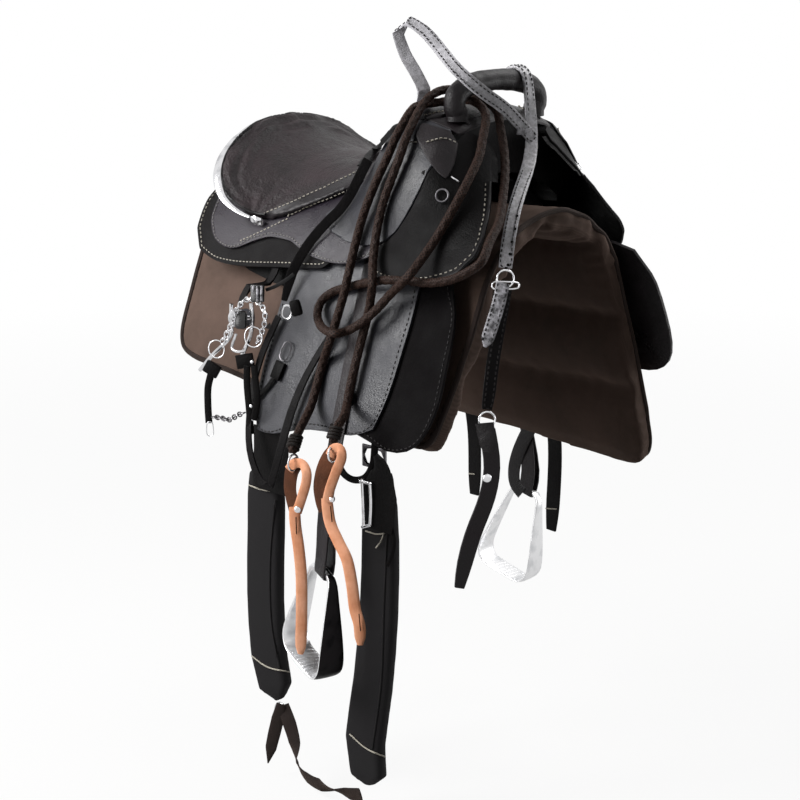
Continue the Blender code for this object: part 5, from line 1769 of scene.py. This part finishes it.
@dataclass
class Girths(Assembly):
    """The billets, buckles, girths, ring and connector strap."""

    ribbon: float = 0.021

    def build(self) -> None:
        """Builds the girths."""
        f = self.finishes
        for node in ("billet_front", "billet_rear", "billet_near_front", "billet_near_rear"):
            leather_piece(node, Slot.DULL, f.dull, f.edge)
        for node in ("girth_buckle_front", "girth_buckle_rear", "girth_ring_rear"):
            self.metal_piece(node, Slot.STEEL, f.steel if node == "girth_ring_rear" else f.dark_steel)
        self.build_girth("girth_front", ((387, 530), (384, 600), (381, 680), (372, 750)),
            ((350, 734), (366, 748), (385, 757)), ((366, 531), (378, 534), (392, 531)))
        self.build_girth("girth_rear", ((275, 500), (270, 560), (271, 620), (279, 668)),
            ((252, 656), (268, 667), (289, 672)), ((249, 485), (264, 490), (284, 492)))
        self.thread_band("billet_near_rear", ((463, 473), (475, 474)), "keeper_thread")
        self.thread_band("billet_near_front", ((541, 508), (557, 509)), "keeper_thread")
        self.build_connector()
        for node in ("billet_near_front", "billet_near_rear"):
            low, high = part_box(node)
            top = max((v.co for v in frame["nodes"][node].data.vertices), key=lambda p: p.z)
            _, side, rise = unroll(np.array([list(top)]))[0]
            line = [lay_on((low.x + high.x) / 2, side + 0.012 - 0.004 * k, rise) for k in range(22)]
            tube(node + "_upper", line, (high.x - low.x) / 2, BODY_OF[node], Slot.DULL, f.dull, flat=0.1,
                sides=10, ups=off_back(line))
        body = BODY_OF["girth_front"]
        prongs = {"left": ((362, 479), (363, 500), (364, 527)),
            "right": ((370, 482), (371, 504), (370, 526)),
            "top": ((360, 481), (372, 484)), "foot": ((362, 527), (371, 525))}
        for word, pixels in prongs.items():
            self.strip("girth_front_prong_" + word, pixels, -0.2480, 0.0046, body, Slot.STEEL, f.steel, 0.8)
        self.strip("girth_front_side_loop", ((386, 524), (392, 530), (394, 545), (391, 558), (387, 566)),
            -0.239, 0.005, body)
        self.strip("girth_front_top_strap", ((376, 455), (381, 468), (381, 480), (379, 505), (378, 530)),
            -0.2425, 0.064, body, flat=0.06, taper=(0.15, 0.62, 1.0, 0.92, 0.8), face=LEVEL_FACE)
        self.strip("girth_front_side_strap",
            ((338, 464), (345, 475), (355, 480), (366, 477), (373, 464), (375, 444)), -0.2385, 0.010, body,
            flat=0.3)
        self.strip("girth_rear_top_strap", ((271, 429), (271, 455), (270, 475), (270, 491)), -0.2415, 0.074,
            BODY_OF["girth_rear"], flat=0.05, face=LEVEL_FACE)
        self.strip("girth_front_thread_tail", ((384, 532), (381, 541), (376, 548)), -0.2405, 0.002, body,
            Slot.GIRTH, f.thread, 0.8)

    def build_girth(self, node: str, seam: Pixels, low: Pixels, top: Pixels) -> None:
        """Builds one padded girth with its long seam and its thread.

        Args:
            node: the girth's CAD node.
            seam: the pixels of its long seam.
            low: the pixels of the thread near its lower end.
            top: the pixels of the thread near its upper end.
        """
        f = self.finishes
        lines = [[p for p, _ in run] for face in faces_of(node)[:2] for run in rim_line(face, 0.001)]
        long_seam = trace(node, seam, step=3)
        self.padded_piece(node, Slot.GIRTH, f.girth, 0.0036, 0.005, [*lines, [p for p, _ in long_seam]],
            0.009, 0.8)
        self.thread_band(node, low, "low_thread")
        self.thread_band(node, top, "top_thread")
        bead(node + "_seam_cord", long_seam, 0.0012, BODY_OF[node], Slot.GIRTH, f.edge, sides=6)

    def thread_band(self, node: str, pixels: Pixels, word: str) -> None:
        """Lays one line of off-white thread round the front of a strap."""
        bead(f"{node}_{word}", trace(node, pixels, step=1.0), 0.0011, BODY_OF[node], Slot.GIRTH,
            self.finishes.thread, 0.0006, sides=6)

    def build_connector(self) -> None:
        """Builds the webbing between the girths."""
        f = self.finishes
        pixels = ((283, 705), (289, 722), (294, 740), (296, 758), (302, 772), (312, 781), (326, 787),
            (344, 793), (361, 795))
        turns = (0.2, 0.0, 0.3, 1.35, 0.5, 0.2, 1.3, 0.3, 0.1)
        line = smooth_line([at_y(u, v, -0.235) for u, v in pixels], 0.003)
        front = Vector((0.5, -0.86, 0.1)).normalized()
        ups = []
        for index in range(len(line)):
            along = (line[min(index + 1, len(line) - 1)] - line[max(index - 1, 0)]).normalized()
            share = index / (len(line) - 1) * (len(turns) - 1)
            ups.append(Matrix.Rotation(float(np.interp(share, range(len(turns)), turns)), 3, along) @ front)
        made = tube("girth_connector_webbing", line, self.ribbon / 2, BODY_OF["girth_connector"],
            Slot.WEBBING, f.webbing, flat=0.11, ups=ups, sides=10)
        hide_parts("girth_connector")
        tail = self.strip("girth_connector_tail", ((281, 704), (277, 722), (272, 743), (268, 763)), -0.240,
            0.019, BODY_OF["girth_connector"], Slot.WEBBING, f.webbing, 0.12, (0.7, 1.0, 1.0, 0.9, 0.1))


@dataclass
class Bridle(Assembly):
    """The bridle's straps, buckle and rings, and the hanging straps."""

    def build(self) -> None:
        """Builds the bridle."""
        f = self.finishes
        # The cheek straps and the browband carry painted grey highlight in their colour
        for node in ("cheek_strap", "browband", "near_cheek_strap"):
            leather_piece(node, Slot.BLACK, f.glossy, f.edge)
        for node in ("cheek_drop_strap", "long_strap", "hanging_loop_strap", "slobber_strap_dark"):
            leather_piece(node, Slot.DULL, f.black if node == "slobber_strap_dark" else f.dull, f.edge)
        tip, drop = ((503, 283), (499, 302), (493, 322), (485, 347)), BODY_OF["cheek_drop_strap"]
        # The cheek strap's tip carries the same painted highlight
        self.strip("cheek_strap_tip", tip, -0.1560, 0.0175, drop, Slot.BLACK, f.glossy, 0.12,
            (1.0,) * 8 + (0.95, 0.25))
        front, across = Vector((0.5, -0.85, 0)).normalized(), Vector((0.85, 0.5, 0)).normalized()
        middle = smooth_line([at_y(u, v, -0.1560) for u, v in tip], 0.002)[:-3]
        for word, shift in (("left", -0.0062), ("right", 0.0062)):
            run = [(p + across * shift + front * 0.0008, front) for p in middle]
            self.stitcher.sew(f"cheek_tip_stitching_{word}", [run], drop, Slot.BLACK, f.dark_thread,
                gap=0.0018)
        self.strip("slobber_strap_fold", ((484.5, 423), (485.5, 430), (488, 440), (489, 452)), -0.1690,
            0.0245, BODY_OF["slobber_strap_dark"], Slot.BLACK, f.black, 0.16, (1.0, 1.0, 1.0, 1.0, 0.55))
        for node in ("cheek_buckle", "slobber_ring_dark"):
            self.metal_piece(node, Slot.STEEL, f.steel)
        for node in ("cheek_strap", "browband", "near_cheek_strap", "cheek_drop_strap"):
            for face in (0, 1):
                self.sew_rim(node, 0.0034, Slot.BLACK, f.dark_thread, f"stitching_{face}", face=face,
                    gap=0.0018)
        upper = first_hits(("seat", "thigh_pad_off", "fork_cover"),
            pixel_line(((362, 167), (370, 157), (380, 147), (389, 137), (397, 127))))
        bead("long_strap_upper", upper, 0.0075, BODY_OF["long_strap"], Slot.DULL, f.dull, 0.003, flat=0.2)
        self.build_holes()
        self.build_rivets()
        self.build_cheek_hardware()

    def build_cheek_hardware(self) -> None:
        """Builds the buckle's lower loop and the browband's keeper."""
        f = self.finishes
        front = Vector((0.72, -0.66, 0.2))
        middle = middle_of("cheek_buckle")
        across = Vector((0.68, 0.73, 0))
        loop = (middle + front * 0.004 - Vector((0, 0, 0.009)), across, front)
        self.set_patterns("cheek_buckle_lower_loop", Pattern.link(0.0052, 0.0015, 0.0125), [loop],
            BODY_OF["cheek_drop_strap"], Slot.STEEL, f.steel, True)
        place, normal = seen_at("browband", 524, 131)
        # The keeper carries the straps' painted highlight
        self.set_patterns("browband_keeper", Pattern.block(0.024, 0.009, 0.003, 0.001),
            [(place + normal * 0.001, facing(normal), normal)], BODY_OF["browband"], Slot.BLACK, f.glossy)

    def build_holes(self) -> None:
        """Builds the punched holes of the cheek strap."""
        pixels = [(517, 216), (515, 229), (512, 242), (510, 254), (508, 265), (499, 300)]
        hits = [hit for hit in (seen_at("cheek_strap", u, v) for u, v in pixels) if hit]
        self.set_patterns("cheek_strap_holes", Pattern.eyelet(0.0019),
            [(p + n * 0.0002, facing(n), n) for p, n in hits], BODY_OF["cheek_strap"], Slot.BLACK,
            self.finishes.dull)

    def build_rivets(self) -> None:
        """Builds the studs of the slobber straps."""
        studs = (("dark", (487, 478), 0.0062, 0.004, 0.0), ("front", (331, 499), 0.0045, 0.003, 0.0022),
            ("rear", (298, 509), 0.0048, 0.003, 0.0022))
        for word, pixel, radius, height, lift in studs:
            node = "slobber_strap_" + word
            place, normal = seen_at(node, *pixel)
            self.set_patterns(node + "_stud", Pattern.dome(radius, height, 18),
                [(place + normal * lift, facing(normal), normal)], BODY_OF[node], Slot.STEEL,
                self.finishes.steel)


@dataclass
class BitGroup(Assembly):
    """The bit on its hanger: the box, chains, rings, straps and the small keeper."""

    plane: float = -0.238
    body: str = "hung_bit"

    def build(self) -> None:
        """Builds the group."""
        f = self.finishes
        self.metal_piece("bit", Slot.STEEL, f.steel)
        leather_piece("bit_hanger", Slot.DULL, f.dull, f.edge)
        y, face = self.plane, Vector((0.5, -0.86, 0.1)).normalized()
        curb = self.chain("curb_chain_links",
            ((243, 301), (250, 299), (258, 302), (264, 310), (265, 321), (262, 332), (257, 343)), y - 0.004,
            self.body, 0.0034, 0.0011, 0.0008, f.steel)
        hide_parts("curb_chain")
        self.chain("curb_chain_left", ((244, 300), (236, 311), (231, 325), (222, 343)), y - 0.017,
            self.body, 0.0034, 0.0011, 0.0012, f.steel)
        self.chain("bit_bright_chain", ((213, 417), (222, 418), (229, 420), (238, 415), (244, 413)),
            y - 0.005, self.body, 0.0032, 0.0011, 0.0014, f.dark_steel)
        rings = (("bit_ring_upper", (253.5, 337), 0.009, 0.0132, 0.0013, 0.0016),
            ("bit_ring_lower", (216.5, 349), 0.006, 0.0122, 0.0013, 0.0012),
            ("bit_end_ring", (210, 429), 0.0, 0.0055, 0.0011, 0.0055))
        for name, pixel, depth, radius, wire, stretch in rings:
            self.set_patterns(name, Pattern.link(radius, wire, stretch),
                [(at_y(*pixel, y - depth), Vector((0, 0, 1)), Vector((0.55, -0.83, 0.1)))], self.body,
                Slot.STEEL, f.steel, True)
        blocks = (("bit_roller", (241, 320), y - 0.008, (0.018, 0.026, 0.012), f.lacquer, 0.005, 0.0),
            ("bit_box", (257.5, 293.5), y - 0.004, (0.019, 0.024, 0.008), f.lacquer, 0.002, 0.0),
            ("bit_wedge", (212, 369), y, (0.024, 0.019, 0.006), f.dull, 0.002, -0.5),
            ("bit_square", (245, 361), y - 0.004, (0.026, 0.02, 0.005), f.dull, 0.0015, 0.2),
            ("long_strap_fold", (296, 308), -0.236, (0.015, 0.022, 0.011), f.dull, 0.0035, 0.3))
        for name, pixel, depth, size, material, bevel, turn in blocks:
            level = facing(face)
            along = level * math.cos(turn) + face.cross(level) * math.sin(turn)
            body = BODY_OF["long_strap"] if name == "long_strap_fold" else self.body
            self.set_patterns(name, Pattern.block(*size, bevel), [(at_y(*pixel, depth), along, face)], body,
                Slot.BLACK, material)
        # The box's ribs carry the straps' painted grey highlight
        for shift in (-4, 0, 4):
            self.strip(f"bit_box_rib_{shift + 4}", ((257.5 + shift, 286), (257.5 + shift, 301)), y - 0.009,
                0.004, self.body, Slot.BLACK, f.glossy, 0.5)
        self.strip("bit_shank_loop", ((236, 334), (232, 349), (244, 351), (247, 340)), y - 0.006, 0.004,
            self.body, Slot.STEEL, f.steel, 0.6)
        self.strip("bit_thin_strap", ((294, 274), (286, 280), (276, 286), (266, 290)), y + 0.006, 0.005,
            self.body, Slot.DULL, f.edge)
        self.strip("bit_drop_strap", ((211, 374), (208, 388), (208, 406), (209, 423)), y, 0.011, self.body)
        self.strip("bit_strap_left", ((247, 366), (247, 385), (249, 408), (251, 434)), y - 0.0205, 0.010,
            self.body)
        self.strip("bit_strap_right", ((254, 366), (256, 385), (257, 400), (254, 420)), y - 0.0205, 0.010,
            self.body)
        rivets = ((252, 362, 0.0065), (251, 406, 0.021), (253, 419, 0.021))
        places = [(at_y(u, v, y - depth), facing(face), face) for u, v, depth in rivets]
        self.set_patterns("bit_rivets", Pattern.dome(0.0026, 0.0016, 12), places, self.body, Slot.STEEL,
            f.steel)
        self.set_patterns("long_strap_buckle", Pattern.link(0.0068, 0.0014, 0.003),
            [(at_y(287, 312, -0.238), Vector((0.3, 0, 0.95)), face)], BODY_OF["long_strap"], Slot.STEEL,
            f.steel)
        backing = trace("saddle_pad", ((284, 267), (283, 285), (279, 305), (272, 330)))
        bead("off_rear_backing_strap", backing, 0.013, "saddle", Slot.DULL, f.dull, 0.003, flat=0.12,
            sides=10)
        self.build_keeper()

    def build_keeper(self) -> None:
        """Builds the ring with the leather keeper that hangs over the flap."""
        f = self.finishes
        place, normal = seen_at("flap_off", 280, 371)
        level = facing(normal)
        down = level.cross(normal)
        down = -down if down.z > 0 else down
        turn = (level * 0.2 + down).normalized()
        lift = normal * 0.004
        self.set_patterns("keeper_body", Pattern.block(0.026, 0.019, 0.005, 0.0015),
            [(place + lift, turn, normal)], "saddle", Slot.BLACK, f.dull)
        corners = ((0.012, -0.002), (0.03, -0.01), (0.05, -0.022))
        line = smooth_line([place + lift + turn * reach - level * side for reach, side in corners], 0.003)
        tube("keeper_tail", line, 0.004, "saddle", Slot.BLACK, f.dull, flat=0.3, ups=[normal] * len(line))
        self.set_patterns("keeper_ring", Pattern.link(0.0095, 0.0009, 0.0045),
            [(place + lift - turn * 0.029, turn, normal)], "saddle", Slot.STEEL, f.dark_steel)


@dataclass
class Rein(Assembly):
    """The rope rein with its rings and tan slobber straps."""

    radius: float = 0.006
    pitch: float = 0.016
    strands: int = 8
    relief: float = 0.0013
    straps: Sequence[tuple] = (("slobber_strap_rear", ((294.5, 507), (295.5, 525), (299, 550), (301.5, 580),
        (301.5, 620), (300.5, 654)), ((299, 462), (292, 471), (290, 487), (292, 500), (295, 513)),
        ((289, 470), (294, 464), (302, 464), (306.5, 472), (306, 483), (302, 497), (297, 512)),
        ((296, 517), (296.5, 534))), ("slobber_strap_front",
        ((326.5, 498), (330, 522), (338, 541), (347, 560), (352, 585), (355, 609), (359.5, 626),
        (360, 645)), ((338, 445), (325, 466), (320, 485), (321, 500), (324, 511)),
        ((330, 456), (334, 449), (340, 449), (341.5, 458), (336, 472), (330, 489), (327, 502)),
        ((330.5, 506), (332, 522)), ((359, 614), (360.5, 631))))
    path: Sequence[tuple[float, float, float]] = ((0.0955, -0.31, -0.2811), (0.095, -0.3085, -0.27),
        (0.086, -0.2885, -0.254), (0.062, -0.2476, -0.2349), (0.0568, -0.2308, -0.2069),
        (0.0577, -0.2202, -0.1778), (0.0755, -0.2237, -0.1458), (0.0722, -0.2076, -0.1181),
        (0.0785, -0.2019, -0.0895), (0.0833, -0.1971, -0.0607), (0.0763, -0.1817, -0.0352),
        (0.0796, -0.1734, -0.0033), (0.0921, -0.1713, 0.0312), (0.1019, -0.1621, 0.0646),
        (0.1146, -0.153, 0.098), (0.1172, -0.1369, 0.1277), (0.1115, -0.1037, 0.1573),
        (0.1108, -0.0796, 0.1631), (0.136, -0.0626, 0.1678), (0.1593, -0.0513, 0.1706),
        (0.183, -0.0498, 0.1652), (0.2005, -0.055, 0.15), (0.2156, -0.0785, 0.1191),
        (0.2243, -0.0936, 0.1011), (0.2306, -0.1174, 0.0773), (0.2315, -0.1379, 0.0531),
        (0.2262, -0.1546, 0.0256), (0.2182, -0.1693, -0.0009), (0.2152, -0.192, -0.0249),
        (0.2105, -0.2119, -0.0457), (0.1688, -0.2005, -0.0734), (0.1476, -0.2072, -0.0967),
        (0.1272, -0.2151, -0.1157), (0.1069, -0.2215, -0.1283), (0.0993, -0.2382, -0.1304),
        (0.0621, -0.2248, -0.1296), (0.033, -0.207, -0.1194), (0.0265, -0.1943, -0.1025),
        (0.0416, -0.1877, -0.0883), (0.0688, -0.1851, -0.0785), (0.1109, -0.1901, -0.0668),
        (0.1566, -0.1976, -0.0572), (0.192, -0.1942, -0.0545), (0.2314, -0.1938, -0.0527),
        (0.265, -0.1902, -0.0454), (0.2913, -0.1851, -0.0328), (0.3074, -0.1769, -0.018),
        (0.296, -0.15, 0.003), (0.283, -0.119, 0.023), (0.262, -0.088, 0.051), (0.242, -0.062, 0.079),
        (0.222, -0.042, 0.106), (0.2075, -0.033, 0.132), (0.197, -0.0305, 0.157), (0.175, -0.0315, 0.169),
        (0.151, -0.038, 0.1735), (0.127, -0.0479, 0.1825), (0.1235, -0.0767, 0.1768),
        (0.1245, -0.1012, 0.1595), (0.136, -0.138, 0.1261), (0.1372, -0.1522, 0.1007),
        (0.1311, -0.1611, 0.072), (0.1217, -0.1666, 0.0426), (0.1161, -0.1714, 0.0133),
        (0.1176, -0.1795, -0.0138), (0.1257, -0.1914, -0.0379), (0.1441, -0.2103, -0.059),
        (0.133, -0.2031, -0.087), (0.1235, -0.2006, -0.1127), (0.1231, -0.2095, -0.1372),
        (0.1231, -0.2198, -0.1656), (0.1236, -0.2306, -0.1951), (0.1258, -0.2403, -0.2217),
        (0.156, -0.274, -0.227), (0.168, -0.299, -0.237), (0.169, -0.3052, -0.247),
        (0.169, -0.306, -0.2561))

    def build(self) -> None:
        """Builds the rein."""
        f = self.finishes
        line = smooth_line([Vector(p) for p in self.path], 0.0016)
        rope = tube("rein_rope_braid", line, self.radius, "saddle", Slot.ROPE, f.rope, sides=24)
        self.braid(rope)
        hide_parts("rein_rope")
        self.build_knots(line)
        for strap in self.straps:
            self.build_slobber_strap(*strap)
        for node in ("rein_ring_front", "rein_ring_rear"):
            self.metal_piece(node, Slot.STEEL, f.steel)

    def build_slobber_strap(self, node: str, *lines: Pixels) -> None:
        """Builds one tan strap: it turns round the rein's ring and is riveted to itself.

        Args:
            node: the strap's CAD node.
            lines: the pixels of its tail, of the loop's two sides, and of its slits.
        """
        f, body = self.finishes, BODY_OF[node]
        tail, back, front, *slits = lines
        made = self.strip(node + "_tail", tail, -0.3065, 0.0175, body, Slot.TAN, f.tan, 0.2,
            (0.85,) + (0.93,) * 18 + (0.85, 0.45))
        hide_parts(node)
        self.strip(node + "_loop_back", back, -0.3020, 0.0250, body, Slot.TAN, f.flesh, 0.12,
            (0.7, 1.0, 1.0, 1.0, 0.9), LEVEL_FACE)
        self.strip(node + "_loop_front", front, -0.3090, 0.0135, body, Slot.TAN, f.tan, 0.2)
        for index, slit in enumerate(slits):
            self.strip(f"{node}_slit_{index}", slit, -0.3088, 0.0016, body, Slot.TAN, f.flesh, 0.5)

    def braid(self, rope: Piece) -> None:
        """Raises the strands of the braid.

        Args:
            rope: the swept rope.
        """
        lay = np.empty(len(rope.data.vertices) * 3, np.float32)
        rope.data.attributes["lay"].data.foreach_get("vector", lay)
        along, around = lay.reshape(-1, 3)[:, 0], lay.reshape(-1, 3)[:, 1] / self.radius
        turn = along * math.tau / self.pitch
        strand = np.maximum(np.cos(around * self.strands / 2 - turn),
            np.cos(around * self.strands / 2 + turn))
        height = self.relief * (strand - 1) / 2
        put_coordinates(rope, coordinates(rope) + normals(rope) * height[:, None])

    def build_knots(self, line: Sequence[Vector]) -> list[Piece]:
        """Builds the bound end at each end of the rope.

        Args:
            line: the rope's middle line.

        Returns:
            The two bindings.
        """
        made = []
        for word, points in (("rear", line[4:16]), ("front", line[-16:-4])):
            start, end = points[0], points[-1]
            along = (end - start).normalized()
            side = along.orthogonal().normalized()
            up = along.cross(side)
            coil = []
            for k in range(4 * 14 + 1):
                angle = math.tau * k / 14
                coil.append(start + (end - start) * (k / 56) + (side * math.cos(angle)
                            + up * math.sin(angle)) * (self.radius + 0.0012))
            made.append(tube(f"rein_end_binding_{word}", coil, 0.0026, "saddle", Slot.ROPE,
                self.finishes.whipping, sides=6))
        return made


def main() -> None:
    """Builds the studio and the saddle."""
    Studio().build()
    finishes, stitcher = Finishes(), Stitcher()
    for part in (Rein, Layers, Seat, Fork, Stirrups, Girths, Bridle, BitGroup):
        part(finishes, stitcher).build()
    bpy.context.view_layer.update()


if __name__ == "__main__":
    main()
